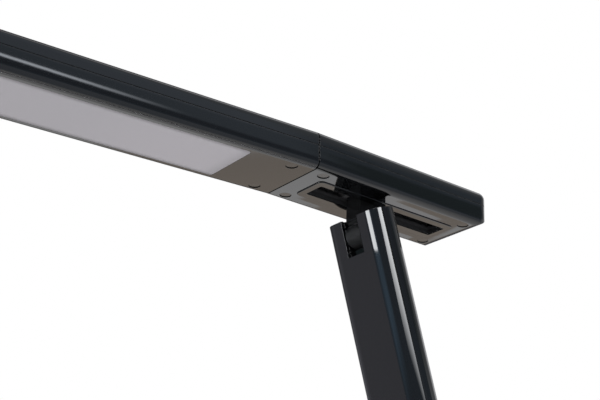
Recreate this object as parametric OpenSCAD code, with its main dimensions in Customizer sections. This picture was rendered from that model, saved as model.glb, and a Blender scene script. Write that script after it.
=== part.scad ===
// Folding LED desk lamp.
// A weighted base carries a turntable, a folding arm, a short neck and a two-part light head.
// The head's rear housing slides on the neck; its front light bar twists about its own length.
// Millimetres, +Z up, +X towards the tip of the light bar, origin on the table under the base.

/* [Light head] */
// Width of the head
head_w = 40; // [36:1:46]
// Height of the head
head_h = 17.3; // [16.5:0.1:20]
// Radius of the upright corners at the head's two ends
head_corner_r = 5; // [4.7:0.1:6]
// Radius along the head's top edges
head_top_r = 3.5; // [3:0.1:4.6]
// Radius along the head's bottom edges
head_bottom_r = 3; // [2.4:0.1:3.6]
// Height of the line where the head's covers part
head_split_z = 10.4; // [9:0.1:11]
// Wall of the head's mouldings
head_wall = 1.8; // [1.4:0.1:2.2]
// Width of the line between two mouldings
split_gap = 0.3; // [0.2:0.05:0.5]
// Gap at the seam between the housing and the light bar
seam_gap = 0.6; // [0.4:0.1:1]
// Droop of the light bar against the housing, in degrees
bar_droop = 2.5; // [0:0.1:3]

/* [Light bar] */
// Length of the light bar
bar_l = 290; // [200:5:400]
// Thickness of the bottom plate round the diffuser
plate_t = 1.8; // [1.4:0.1:2.4]
// Width of the bottom plate
plate_w = 36.2; // [34.5:0.1:37]
// Gap round the bottom plate
plate_gap = 0.5; // [0.3:0.05:0.7]
// Distance from the seam to the diffuser
diffuser_start = 31.4; // [26:0.2:60]
// Distance from the diffuser to the tip of the bar
diffuser_end = 12; // [12:0.5:30]
// Width of the diffuser
diffuser_w = 31; // [24:0.5:31.4]
// Corner radius of the diffuser
diffuser_r = 1.5; // [0.8:0.1:4]
// Thickness of the diffuser's flange, which lies on the bottom plate
flange_t = 1.2; // [0.8:0.1:1.6]
// Width of the circuit board that carries the LEDs
led_board_w = 12; // [8:0.5:14]
// Thickness of the circuit boards
board_t = 1; // [0.8:0.1:1.6]
// Number of LEDs
led_count = 30; // [10:1:48]
// Length of one LED
led_l = 3.5; // [2:0.1:4]
// Width of one LED
led_w = 2.8; // [1.6:0.1:4]
// Height of one LED
led_h = 0.8; // [0.6:0.1:1.2]

/* [Slide housing] */
// Length of the slide housing
housing_l = 101; // [101:0.5:140]
// Radius that sweeps the housing's underside up at its rear end
housing_sweep_r = 8; // [5:0.5:8]
// Thickness of the housing's floor
floor_t = 2.2; // [1.8:0.1:2.6]
// Distance from the seam to the slot
slot_start = 12.6; // [12.4:0.1:12.8]
// Length of the slot
slot_l = 73.2; // [50:0.2:73.4]
// Width of the slot
slot_w = 11; // [9:0.1:13]
// Corner radius of the slot
slot_r = 0.8; // [0.6:0.1:3]
// Width of the bezel on each side of the slot
bezel_side = 4; // [3:0.1:4.1]
// Width of the bezel in front of the slot
bezel_front = 3.2; // [2.4:0.1:3.4]
// Width of the bezel behind the slot
bezel_rear = 2.4; // [1.6:0.1:2.6]
// Corner radius of the bezel
bezel_r = 2.6; // [1.5:0.1:5]
// Height by which the bezel stands out of the housing's underside
bezel_proud = 0.45; // [0.3:0.05:0.6]
// Radius along the bezel's outer edge
bezel_edge_r = 0.35; // [0.2:0.05:0.5]
// Wall of the slide track
track_wall = 1.4; // [1.2:0.1:1.4]
// Thickness of the lips under the slide track
lip_t = 1.5; // [1:0.1:2]
// Distance from the slot to each end of the track
track_past_slot = 2.6; // [2.6:0.1:2.8]

/* [Neck and knuckle] */
// Distance from the knuckle pin back from the seam
neck_setback = 40.3; // [34:0.1:60]
// Depth of the neck, front to back
neck_d = 15.1; // [12:0.1:15.4]
// Distance from the knuckle pin to the neck's front face
neck_front = 5.2; // [5:0.1:5.4]
// Height above the knuckle pin at which the neck reaches its full depth
neck_waist = 7.6; // [7:0.1:8.4]
// Bevel on the neck's upright edges
neck_bevel = 0.3; // [0.2:0.05:0.6]
// Clearance on each side of the neck in the slot and in the fork
neck_side_gap = 0.5; // [0.4:0.05:0.8]
// Height of the housing's underside above the knuckle
neck_drop = 14.3; // [13:0.1:24]
// Radius of the knuckle barrel
barrel_r = 5.6; // [5.5:0.1:5.8]
// Radius round the rims of the knuckle barrel
barrel_rim_r = 1.2; // [0.6:0.1:1.4]
// Radius of the knuckle pin
knuckle_pin_r = 2.75; // [2.2:0.05:3]
// Radius of the wire's bore in the knuckle pin and the neck
neck_bore_r = 1.4; // [1:0.1:1.6]
// Thickness of the knuckle's friction washers
knuckle_washer_t = 0.4; // [0.3:0.05:0.4]

/* [Arm] */
// Distance between the arm's two pivots
arm_l = 340; // [240:5:420]
// Lean of the arm as stored, in degrees
arm_lean = 18; // [0:1:25]
// Width of the arm
arm_w = 36.5; // [34:0.5:40]
// Depth of the arm
arm_d = 15; // [14:0.5:17]
// Wall of the arm tube
arm_wall = 1.6; // [1.2:0.1:2]
// Depth of the knuckle pin behind the arm's front face
knuckle_inset = 5.5; // [5.5:0.1:6.5]
// Height of the fork above the knuckle pin
fork_top = 8.1; // [6.5:0.1:8.4]
// Depth of the notch in the fork
notch_depth = 17; // [15:0.5:24]
// Length of the casting in each end of the arm
arm_plug_l = 45; // [36:1:60]
// Radius of the wire in the arm
arm_wire_r = 1.5; // [1:0.1:1.8]

/* [Base hinge and swivel] */
// Distance from the base's centre back to the turntable
turntable_back = 48; // [44:1:54]
// Height of the base hinge above the table
hinge_z = 33; // [32:0.5:42]
// Radius of the base hinge's tongue and cheeks
hinge_r = 8; // [7:0.2:8.5]
// Width of the arm's tongue in the base hinge
tongue_w = 16; // [12:0.5:18]
// Thickness of the base hinge's friction washers
hinge_washer_t = 0.6; // [0.4:0.1:0.8]
// Radius of the base hinge's pin
hinge_pin_r = 4; // [3:0.25:4.5]
// Radius of the turntable
turntable_r = 29; // [26:0.5:31]
// Thickness of the turntable's disc
turntable_t = 3; // [2.4:0.2:4]
// Outside radius of the hollow swivel spindle
spindle_r = 9; // [8:0.25:10]
// Radius of the wire's bore in the swivel spindle
spindle_bore_r = 5.5; // [4:0.25:6]

/* [Base] */
// Length of the base, front to back
base_l = 180; // [170:2:220]
// Width of the base
base_w = 150; // [140:2:190]
// Height of the base cover's top above the table
base_h = 18; // [17:0.5:22]
// Radius of the base's corners
base_corner_r = 24; // [18:1:30]
// Radius along the base's top edge
base_edge_r = 5; // [3:0.5:6]
// Wall of the base cover
base_wall = 2.4; // [2:0.1:3]
// Thickness of the non-slip pad
pad_t = 1.5; // [1:0.1:2.5]
// Thickness of the steel bottom plate
bottom_plate_t = 2; // [1.5:0.1:2.5]
// Inset of the bottom plate from the cover's outside
bottom_inset = 4; // [3.4:0.1:6]
// Thickness of the ballast weight
ballast_t = 6; // [3:0.5:6]
// Length of the control panel, across the base
panel_l = 96; // [80:1:110]
// Width of the control panel, front to back
panel_w = 28; // [24:1:32]
// Distance from the base's front edge to the control panel's centre
panel_inset = 24; // [22:1:28]
// Thickness of the control panel
panel_t = 1.2; // [0.8:0.1:1.4]
// Radius of the power button
button_r = 7; // [6:0.25:8]
// Travel of the power button
button_travel = 0.5; // [0.3:0.1:0.8]
// Height of the power button above the panel
button_proud = 0.8; // [0.8:0.1:1.4]
// Distance of the power inlet from the base's centre line
inlet_y = 40; // [-46:1:46]
// Radius of the power inlet's mouth
inlet_r = 3.2; // [2.8:0.05:3.4]
// Radius of the power inlet's centre pin
inlet_pin_r = 1; // [0.6:0.05:1.3]

/* [Fasteners] */
// Radius of the screw plugs under the head
plug_r = 2.5; // [2.2:0.05:2.6]
// Width of the ring-shaped gap round a screw plug
plug_gap = 0.15; // [0.1:0.05:0.25]
// Depth by which the screw plugs lie below the head's underside
plug_recess = 0.3; // [0.2:0.05:0.4]
// Thickness of the screw plugs
screw_plug_t = 0.8; // [0.6:0.1:1]
// Distance from the centre line to the head's screws
screw_y = 13.8; // [13.8:0.1:14.2]
// Distance from the seam to the light bar's rear screws
bar_screw_x = 9.9; // [9:0.1:16]
// Distance from the seam to the housing's front screws
housing_screw_x = 7.3; // [7.2:0.1:7.6]
// Distance from the housing's rear end to its rear screws
rear_screw_x = 11.1; // [11.1:0.1:11.3]
// Distance from the light bar's tip to its front screws
tip_screw_x = 7.6; // [7.4:0.1:8]
// Radius of the head screws' heads
screw_head_r = 2.2; // [1.8:0.1:2.2]
// Radius of the head screws' shanks
screw_shank_r = 1.25; // [1:0.05:1.5]
// Height of a head screw's head
screw_head_h = 1.4; // [1:0.1:1.6]
// Radius of the screw bosses in the head
boss_r = 3.1; // [3.05:0.05:3.15]

/* [Fits] */
// Clearance between still pieces
fit = 0.1; // [0.05:0.01:0.15]
// Radial clearance of a running pin
run_fit = 0.05; // [0.02:0.01:0.1]
// Clearance between pieces that slide or turn past each other
slip = 0.15; // [0.1:0.01:0.2]

/* [Hidden] */

$fn = 64;
// Larger than the lamp, for cuts that go right through
far = 600;
// Small length by which a cut passes the face it opens
cut = 1;

// Small walls, gaps and laps
tight = 0.02;
tube_stand_off = 1.5;
wire_room = 1.3;
wire_end_gap = 1.5;
plug_end_gap = 0.3;
pin_end_wall = 2.5;
neck_wire_gap = 0.2;
bar_wire_gap = 0.4;
screw_bite = 1.6;
screw_hole_past = 0.5;
seat_t = 1.4;
tongue_bite = 0.3;
track_side_gap = 0.6;
track_head_room = 1.3;
shoe_lip = 2.3;
spring_side_gap = 2;
stop_land = 0.5;
shaft_past_nut = 0.6;
bulkhead_gap = 0.5;
end_plate_gap = 0.2;
reflector_lip = 2;
reflector_side_gap = 0.4;
reflector_foot = 1.6;
led_end_gap = 6;
carrier_lip = 4;
cover_lift = 0.5;
board_stand_off = 1;
board_edge_gap = 1;
capacitor_gap = 9;
button_lip = 1.4;
inlet_lift = 5.6;
inlet_recess = 0.4;
inlet_rim = 0.8;
inlet_pin_back = 1.5;
inlet_pin_short = 0.5;
inlet_tail_gap = 2;
ballast_gap = 1.2;
ballast_hole_gap = 1.5;
boss_gap = 1;
slip_ring_in = 3;
spindle_gap = 1;
swivel_wave_w = 4;
swivel_nut_w = 5;
cap_lip = 2;
cap_rim = 1.2;
cap_dimple = 0.4;
panel_r = 4;
dish_depth = 0.5;

// Colours
gloss_black = [0.03, 0.03, 0.035];
satin_black = [0.10, 0.10, 0.11];
steel = [0.62, 0.63, 0.65];
aluminium = [0.78, 0.78, 0.80];
white = [0.93, 0.93, 0.92];
board_green = [0.10, 0.32, 0.16];
nylon = [0.85, 0.84, 0.80];
rubber = [0.06, 0.06, 0.06];
brass = [0.75, 0.60, 0.30];

// Places
axis_z = head_h / 2;
neck_t = slot_w - 2 * neck_side_gap;
neck_mid = neck_front - neck_d / 2;
neck_step = 2;
knuckle_x = arm_d / 2 - knuckle_inset;
notch_floor = arm_l + fork_top - notch_depth;
arm_top = arm_l + fork_top;
tube_start = hinge_r + tube_stand_off;
tip_r = head_corner_r;

// Head mouldings
split_low = head_split_z - split_gap / 2;
split_high = head_split_z + split_gap / 2;
ceiling_z = head_h - head_wall;
tongue_t = 0.9;
tongue_h = 1.2;
tongue_root = 1.8;
ledge_t = 1.5;
ledge_w = 1.3;
rib_t = 1.5;
plug_seat = plug_recess + screw_plug_t + fit;
sweep_in_r = housing_sweep_r - head_wall;
screw_tip_z = head_split_z + screw_bite;

// Slide
slot_x = -(slot_start + slot_l / 2);
bezel_x = slot_x + (bezel_front - bezel_rear) / 2;
bezel_l = slot_l + bezel_front + bezel_rear;
bezel_w = slot_w + 2 * bezel_side;
track_w = bezel_w + 2 * fit + 2 * track_wall;
track_in_w = track_w - 2 * (track_wall + track_side_gap);
track_l = slot_l + 2 * track_past_slot;
track_z = floor_t;
track_top = ceiling_z - track_head_room;
track_roof = track_top - track_wall;
shoe_z = track_z + lip_t + fit;
shoe_h = 5;
shoe_l = neck_d + 2 * shoe_lip;
shoe_w = track_in_w - 2 * slip;
neck_head_z = shoe_z + shoe_h;
neck_head_t = 1.6;
spring_t = 0.3;
spring_w = shoe_w - 2 * spring_side_gap;
spring_z = neck_head_z + neck_head_t;
spring_rise = track_roof - spring_z - spring_t - fit;

// Twist joint
bulkhead_t = 3;
bulkhead_r = 1.5;
twist_shaft_r = 3.5;
twist_neck_r = 4;
twist_bore_r = 2;
twist_flange_r = 6.4;
twist_flange_t = 2;
bush_t = 0.8;
bush_flange_r = 5.2;
wave_t = 0.5;
twist_nut_r = 6;
twist_nut_t = 2.6;
stop_pin_r = 0.6;
stop_pin_y = twist_neck_r + fit + stop_land + slip + stop_pin_r;
stop_depth = 2;
stop_sweep = 90;
twist_nut_x = -(seam_gap / 2 + bulkhead_t + bush_t + wave_t + 3 * fit + twist_nut_t);

// Light stack
diffuser_l = bar_l - diffuser_start - diffuser_end;
diffuser_x = diffuser_start + diffuser_l / 2;
flange_w = diffuser_w + 2;
stack_z = plate_t + flange_t;
reflector_t = 0.6;
reflector_top = 9.2;
reflector_top_w = led_board_w + 2 * reflector_lip;
led_board_z = reflector_top - reflector_t - board_t;
led_pitch = (diffuser_l - 2 * led_end_gap) / led_count;
carrier_w = led_board_w + 2 * carrier_lip;
carrier_t = 1.6;
carrier_fin_t = 1.2;
carrier_top = 12.6;

// Base
cover_low = pad_t + cover_lift;
panel_x = base_l / 2 - panel_inset;
cover_ceiling = base_h - base_wall;
plate_top = pad_t + bottom_plate_t;
ballast_z = plate_top;
base_screw_inset = 17;
base_boss_r = 4;
base_screw_r = 1.5;
base_screw_head_r = 2.9;
base_screw_head_h = 1.3;
driver_l = 21;
driver_w = 40;
driver_x = -base_l / 2 + base_wall + 2;
driver_y = -driver_w;
driver_z = ballast_z + ballast_t + board_stand_off;
coil_x = driver_l / 2;
coil_y = 16;
coil_r = 4;
coil_h = 3;
chip_w = 6;
chip_h = 1.2;
chip_x = driver_l - chip_w - board_edge_gap;
chip_y = 4;
capacitor_y = driver_w - chip_w - capacitor_gap;
capacitor_h = 2.4;
post_r = 2;
post_inset = 5;
control_board_t = 1.2;
switch_size = 6;
switch_h = 1.4;
switch_plunger_h = 0.4;
switch_plunger_r = 1.6;
button_flange_t = 0.9;
button_flange_r = button_r + button_lip;
button_low = cover_ceiling - fit - button_flange_t;
control_board_z = button_low - button_travel - fit - switch_h - control_board_t;
inlet_z = plate_top + inlet_lift;
inlet_body = [14, 9, 11];
disc_z = base_h + hinge_washer_t + 2 * fit;
cheek_gap = tongue_w + 2 * hinge_washer_t + 4 * fit;
cap_r = hinge_pin_r + cap_lip;
swivel_nut_t = 3;
swivel_wave_t = 0.6;
swivel_low = cover_ceiling - swivel_wave_t - swivel_nut_t - 3 * fit;

// ---- Shapes that several pieces share ----

// Rectangle with round corners
module round_rect(l, w, r) {
    square([l - 2 * r, w], center = true);
    square([l, w - 2 * r], center = true);
    for (x = [-1, 1], y = [-1, 1]) {
        translate([x * (l / 2 - r), y * (w / 2 - r)]) circle(r);
    }
}

// Half section of a slab with rounded edges, from its middle out to reach
module rim(reach, h, top_r, bottom_r) {
    intersection() {
        union() {
            translate([0, bottom_r]) square([reach, h - top_r - bottom_r]);
            square([reach - bottom_r, h / 2]);
            translate([0, h / 2]) square([reach - top_r, h / 2]);
            if (top_r > 0) translate([reach - top_r, h - top_r]) circle(top_r);
            if (bottom_r > 0) translate([reach - bottom_r, bottom_r]) circle(bottom_r);
        }
        square([reach, h]);
    }
}

// Slab with round corners and rounded top and bottom edges
module soft_slab(l, w, h, r, top_r, bottom_r) {
    for (x = [-1, 1], y = [-1, 1]) {
        translate([x * (l / 2 - r), y * (w / 2 - r), 0]) rotate_extrude() rim(r, h, top_r, bottom_r);
    }
    rotate([90, 0, 90]) translate([0, 0, -(l / 2 - r)]) linear_extrude(l - 2 * r) {
        for (m = [0, 1]) mirror([m, 0]) rim(w / 2, h, top_r, bottom_r);
    }
    rotate([90, 0, 0]) translate([0, 0, -(w / 2 - r)]) linear_extrude(w - 2 * r) {
        for (m = [0, 1]) mirror([m, 0]) rim(l / 2, h, top_r, bottom_r);
    }
}

// Ring or tube along +Z
module tube(r_out, r_in, h) {
    difference() {
        cylinder(h = h, r = r_out);
        translate([0, 0, -cut]) cylinder(h = h + 2 * cut, r = r_in);
    }
}

// Run a child's +Z along +X
module along_x(x) translate([x, 0, 0]) rotate([0, 90, 0]) children();

// Run a child's +Z along +Y, centred on its length
module across(len) translate([0, len / 2, 0]) rotate([90, 0, 0]) children();

// ---- Frames of the moving bodies ----

module on_turntable() translate([-turntable_back, 0, 0]) children();
module on_arm() on_turntable() translate([0, 0, hinge_z]) rotate([0, arm_lean, 0]) children();
module on_neck() on_arm() translate([knuckle_x, 0, arm_l]) rotate([0, -arm_lean, 0]) children();
module on_housing() on_neck() translate([neck_setback, 0, neck_drop]) children();
module on_seam() {
    on_housing() translate([0, 0, axis_z]) rotate([0, bar_droop, 0]) children();
}
module on_bar() on_seam() translate([0, 0, -axis_z]) children();

// ---- Base ----

// Places of the base screws
module at_base_screws() {
    for (x = [-1, 1], y = [-1, 1]) {
        translate([x * (base_l / 2 - base_screw_inset), y * (base_w / 2 - base_screw_inset), 0]) children();
    }
}

module non_slip_pad() {
    color(rubber) linear_extrude(pad_t) {
        inset = bottom_inset + 2;
        round_rect(base_l - 2 * inset, base_w - 2 * inset, base_corner_r - inset);
    }
}

module base_bottom_plate() {
    color(steel) difference() {
        translate([0, 0, pad_t]) linear_extrude(bottom_plate_t) {
            round_rect(base_l - 2 * bottom_inset, base_w - 2 * bottom_inset, base_corner_r - bottom_inset);
        }
        at_base_screws() translate([0, 0, pad_t - cut]) {
            cylinder(h = far, r = base_screw_r + fit);
            cylinder(h = cut + base_screw_head_h + fit, r = base_screw_head_r + fit);
        }
    }
}

module base_screws() {
    color(steel) at_base_screws() {
        translate([0, 0, pad_t]) cylinder(h = base_screw_head_h, r = base_screw_head_r);
        translate([0, 0, pad_t]) cylinder(h = cover_ceiling - pad_t - 2, r = base_screw_r);
    }
}

// Steel slab with openings for the spindle, the screw bosses and the power inlet
module ballast_weight() {
    margin = base_wall + ballast_gap;
    color(satin_black) translate([0, 0, ballast_z]) difference() {
        linear_extrude(ballast_t) {
            round_rect(base_l - 2 * margin, base_w - 2 * margin, base_corner_r - margin);
        }
        translate([-turntable_back, 0, -cut]) cylinder(h = far, r = 2 * spindle_r + 2 * ballast_hole_gap);
        at_base_screws() translate([0, 0, -cut]) cylinder(h = far, r = base_boss_r + boss_gap);
        translate([-base_l / 2, inlet_y - inlet_body[1] / 2 - ballast_hole_gap, -cut]) {
            cube([inlet_body[0] + base_wall + inlet_tail_gap, inlet_body[1] + 2 * ballast_hole_gap, far]);
        }
    }
}

// Places of the two posts that carry the driver board
module at_driver_posts() {
    for (y = [post_inset, driver_w - post_inset]) {
        translate([driver_x + post_inset, driver_y + y, 0]) children();
    }
}

// Driver board with its coil, controller and capacitor
module driver_board() {
    translate([driver_x, driver_y, driver_z]) {
        color(board_green) cube([driver_l, driver_w, board_t]);
        color(satin_black) {
            translate([coil_x, coil_y, board_t]) cylinder(h = coil_h, r = coil_r);
            translate([chip_x, chip_y, board_t]) cube([chip_w, chip_w, chip_h]);
            translate([chip_x, capacitor_y, board_t]) cube([chip_w, chip_w, capacitor_h]);
        }
    }
}

// Barrel-jack body behind the rear wall, with its mouth and centre pin
module dc_inlet() {
    depth = 9;
    mouth_x = -base_l / 2 + inlet_recess;
    body_x = -base_l / 2 + base_wall + fit;
    color(satin_black) translate([0, inlet_y, inlet_z]) {
        difference() {
            union() {
                translate([body_x, -inlet_body[1] / 2, -inlet_body[2] / 2]) cube(inlet_body);
                along_x(mouth_x) cylinder(h = body_x - mouth_x + cut, r = inlet_r + inlet_rim);
            }
            along_x(mouth_x - cut) cylinder(h = depth + cut, r = inlet_r);
        }
        along_x(mouth_x + inlet_pin_back) cylinder(h = depth - inlet_pin_short, r = inlet_pin_r);
    }
}

// Post from the cover's ceiling down to a circuit board whose top is at z
module board_post(z) translate([0, 0, z]) cylinder(h = cover_ceiling - z + cut, r = post_r);

// Moulded top shell with the screw bosses and the recess for the control panel
module base_cover() {
    color(gloss_black) difference() {
        union() {
            difference() {
                translate([0, 0, cover_low]) {
                    soft_slab(base_l, base_w, base_h - cover_low, base_corner_r, base_edge_r, 0);
                }
                translate([0, 0, cover_low - cut]) linear_extrude(cover_ceiling - cover_low + cut) {
                    round_rect(base_l - 2 * base_wall, base_w - 2 * base_wall, base_corner_r - base_wall);
                }
            }
            at_base_screws() {
                translate([0, 0, plate_top]) cylinder(h = cover_ceiling - plate_top + cut, r = base_boss_r);
            }
            at_control_posts() board_post(control_board_z + control_board_t);
            at_driver_posts() board_post(driver_z + board_t);
        }
        at_base_screws() translate([0, 0, plate_top - cut]) {
            cylinder(h = cover_ceiling - plate_top, r = base_screw_r + fit);
        }
        translate([panel_x, 0, base_h - panel_t - fit]) linear_extrude(far) {
            round_rect(panel_w + 2 * fit, panel_l + 2 * fit, panel_r + fit);
        }
        translate([panel_x, 0, 0]) cylinder(h = far, r = button_r + slip);
        translate([-turntable_back, 0, 0]) cylinder(h = far, r = spindle_r + run_fit);
        along_x(-base_l / 2 - cut) translate([-inlet_z, inlet_y, 0]) {
            cylinder(h = base_wall + 2 * cut, r = inlet_r + inlet_rim + fit);
        }
    }
}

// Posts that carry the control board
module at_control_posts() {
    for (x = [-1, 1], y = [-1, 1]) {
        translate([panel_x + x * (panel_w / 2 - post_inset), y * (panel_l / 2 - post_inset), 0]) children();
    }
}

module control_board() {
    margin = 4;
    color(board_green) translate([panel_x, 0, control_board_z]) linear_extrude(control_board_t - fit) {
        round_rect(panel_w - margin, panel_l - margin, margin / 2);
    }
}

module tact_switch() {
    color(steel) translate([panel_x, 0, control_board_z + control_board_t - fit]) {
        linear_extrude(switch_h - switch_plunger_h + fit) square(switch_size, center = true);
        cylinder(h = switch_h + fit, r = switch_plunger_r);
    }
}

// Gloss plate let into the top of the base, with the button's hole
module control_panel() {
    color(gloss_black) translate([panel_x, 0, base_h - panel_t]) difference() {
        linear_extrude(panel_t) round_rect(panel_w, panel_l, panel_r);
        translate([0, 0, -cut]) cylinder(h = far, r = button_r + slip);
    }
}

module power_button() {
    dish = 30;
    color(satin_black) translate([panel_x, 0, button_low]) difference() {
        union() {
            cylinder(h = button_flange_t, r = button_flange_r);
            cylinder(h = base_h + button_proud - button_low, r = button_r);
        }
        translate([0, 0, base_h + button_proud - button_low + dish - dish_depth]) sphere(dish, $fn = 96);
    }
}

// ---- Turntable and base hinge ----

module swivel_slip_ring() {
    color(nylon) on_turntable() translate([0, 0, base_h]) {
        tube(turntable_r - slip_ring_in, spindle_r + spindle_gap, hinge_washer_t);
    }
}

// Disc, hollow spindle and two cheeks in one casting
module turntable() {
    cheek_t = (arm_w - cheek_gap) / 2;
    color(gloss_black) on_turntable() difference() {
        union() {
            translate([0, 0, disc_z]) cylinder(h = turntable_t, r = turntable_r);
            translate([0, 0, swivel_low]) cylinder(h = disc_z - swivel_low + cut, r = spindle_r);
            difference() {
                union() {
                    translate([0, 0, hinge_z]) across(arm_w) cylinder(h = arm_w, r = hinge_r);
                    translate([-hinge_r, -arm_w / 2, disc_z]) cube([2 * hinge_r, arm_w, hinge_z - disc_z]);
                }
                translate([-far / 2, -cheek_gap / 2, disc_z + turntable_t]) cube([far, cheek_gap, far]);
            }
        }
        translate([0, 0, hinge_z]) across(arm_w + 2 * cut) {
            cylinder(h = arm_w + 2 * cut, r = hinge_pin_r + run_fit);
        }
        for (m = [0, 1]) mirror([0, m, 0]) translate([0, arm_w / 2 + cut, hinge_z]) rotate([90, 0, 0]) {
            cylinder(h = cheek_t / 3 + cut, r = cap_r + fit);
        }
        translate([0, 0, swivel_low - cut]) cylinder(h = far, r = spindle_bore_r);
    }
}

module swivel_wave_washer() {
    color(steel) on_turntable() translate([0, 0, cover_ceiling - swivel_wave_t - fit]) {
        tube(spindle_r + swivel_wave_w, spindle_r + fit, swivel_wave_t);
    }
}

module swivel_nut() {
    color(steel) on_turntable() translate([0, 0, swivel_low]) difference() {
        cylinder(h = swivel_nut_t, r = spindle_r + swivel_nut_w, $fn = 6);
        translate([0, 0, -cut]) cylinder(h = far, r = spindle_r + tight);
    }
}

module base_hinge_pin() {
    len = arm_w - 4;
    color(steel) on_turntable() translate([0, 0, hinge_z]) across(len) cylinder(h = len, r = hinge_pin_r);
}

module base_hinge_washers() {
    color(steel) on_turntable() for (m = [0, 1]) mirror([0, m, 0]) {
        translate([0, tongue_w / 2 + fit + hinge_washer_t, hinge_z]) rotate([90, 0, 0]) {
            tube(hinge_r - 0.5, hinge_pin_r + run_fit, hinge_washer_t);
        }
    }
}

// Dished caps in the cheeks' counterbores, over the ends of the pin
module base_hinge_caps() {
    seat = (arm_w - cheek_gap) / 6;
    color(satin_black) on_turntable() for (m = [0, 1]) mirror([0, m, 0]) {
        translate([0, arm_w / 2, hinge_z]) rotate([90, 0, 0]) difference() {
            cylinder(h = seat - fit, r = cap_r);
            translate([0, 0, 2 - fit]) cylinder(h = far, r = hinge_pin_r + fit);
            translate([0, 0, -cut]) cylinder(h = cut + cap_dimple, r = cap_r - cap_rim);
        }
    }
}

// ---- Arm ----

// Section of the arm, shrunk by s
module arm_section(s) {
    r = arm_d / 2 - s;
    flat = arm_w - arm_d;
    square([2 * r, flat], center = true);
    for (y = [-1, 1]) translate([0, y * flat / 2]) circle(r);
}

// Notch between the two ears, right through from front to back
module fork_notch() {
    translate([-far / 2, -slot_w / 2, notch_floor]) cube([far, slot_w, far]);
}

module arm_tube() {
    color(gloss_black) on_arm() difference() {
        translate([0, 0, tube_start]) linear_extrude(arm_top - tube_start) difference() {
            arm_section(0);
            arm_section(arm_wall);
        }
        fork_notch();
    }
}

// Casting in the tube's top: the two ears' cores, with the pin's bore and the wire's way
module arm_top_fork() {
    low = arm_top - arm_plug_l;
    color(satin_black) on_arm() difference() {
        translate([0, 0, low]) linear_extrude(arm_plug_l - plug_end_gap) arm_section(arm_wall + fit);
        fork_notch();
        translate([knuckle_x, 0, arm_l]) across(arm_w) cylinder(h = arm_w, r = knuckle_pin_r + tight);
        translate([0, 0, low - cut]) cylinder(h = arm_plug_l, r = arm_wire_r + wire_room);
    }
}

// Casting in the tube's foot, with the tongue that turns in the base hinge
module arm_bottom_tongue() {
    shoulder = 1.2;
    top = tube_start + arm_plug_l;
    color(satin_black) on_arm() difference() {
        union() {
            translate([0, 0, tube_start - shoulder]) linear_extrude(shoulder - fit) arm_section(0);
            translate([0, 0, tube_start - shoulder]) linear_extrude(arm_plug_l) arm_section(arm_wall + fit);
            across(tongue_w) cylinder(h = tongue_w, r = hinge_r);
            translate([-hinge_r + 1, -tongue_w / 2, 0]) cube([2 * hinge_r - 2, tongue_w, tube_start]);
        }
        across(tongue_w + 2 * cut) cylinder(h = tongue_w + 2 * cut, r = hinge_pin_r + run_fit);
        translate([0, 0, hinge_pin_r + tube_stand_off]) cylinder(h = top, r = arm_wire_r + wire_room);
    }
}

// Wire that feeds the head, inside the tube from casting to casting
module arm_wire() {
    low = hinge_pin_r + 2 * wire_end_gap;
    offset_x = -1;
    color(rubber) on_arm() translate([offset_x, 0, low]) {
        cylinder(h = notch_floor - wire_end_gap - low, r = arm_wire_r, $fn = 24);
    }
}

module knuckle_pin() {
    len = arm_w - 2 * (arm_wall + pin_end_wall);
    color(steel) on_arm() translate([knuckle_x, 0, arm_l]) {
        across(len) tube(knuckle_pin_r, neck_bore_r, len);
    }
}

module knuckle_washers() {
    gap = (neck_side_gap - knuckle_washer_t) / 2;
    color(steel) on_arm() for (m = [0, 1]) mirror([0, m, 0]) {
        translate([knuckle_x, slot_w / 2 - gap, arm_l]) rotate([90, 0, 0]) {
            tube(barrel_r - barrel_rim_r, knuckle_pin_r + run_fit, knuckle_washer_t);
        }
    }
}

// ---- Neck ----

// Side view of the neck, from the top of its block down into the knuckle barrel
module neck_profile(top) {
    rear = neck_front - neck_d;
    throat = barrel_r - barrel_rim_r;
    polygon([[rear, top], [rear, neck_waist], [-throat, -throat / 2], [throat / 2, throat / 2],
        [neck_front - neck_step, throat], [neck_front, throat + neck_step], [neck_front, top]]);
}

// Section of the neck with bevelled corners
module neck_section() {
    square([neck_d - 2 * neck_bevel, neck_t], center = true);
    square([neck_d, neck_t - 2 * neck_bevel], center = true);
    for (x = [-1, 1], y = [-1, 1]) {
        translate([x * (neck_d / 2 - neck_bevel), y * (neck_t / 2 - neck_bevel)]) {
            rotate(45) square(neck_bevel * sqrt(2), center = true);
        }
    }
}

// Deep neck with the knuckle barrel below and a flat head on top of the slide shoe
module neck_link() {
    top = neck_drop + neck_head_z;
    color(satin_black) on_neck() difference() {
        union() {
            across(neck_t) rotate_extrude() rim(barrel_r, neck_t, barrel_rim_r, barrel_rim_r);
            intersection() {
                across(neck_t) linear_extrude(neck_t) neck_profile(top);
                translate([neck_mid, 0, -barrel_r]) linear_extrude(top + barrel_r) neck_section();
            }
            translate([neck_mid, 0, top + fit]) linear_extrude(neck_head_t - fit) {
                square([shoe_l - 1, shoe_w - 2], center = true);
            }
            translate([neck_mid, 0, top - cut]) linear_extrude(cut + neck_head_t) {
                square([neck_d - 2, neck_t - 2], center = true);
            }
        }
        across(neck_t + 2 * cut) cylinder(h = neck_t + 2 * cut, r = knuckle_pin_r + run_fit);
        translate([0, 0, knuckle_pin_r - 0.5]) cylinder(h = far, r = neck_bore_r);
    }
}

module neck_wire() {
    low = knuckle_pin_r + 1;
    color(rubber) on_neck() translate([0, 0, low]) {
        cylinder(h = neck_drop + spring_z - low + neck_wire_gap, r = neck_bore_r - neck_wire_gap, $fn = 24);
    }
}

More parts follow.
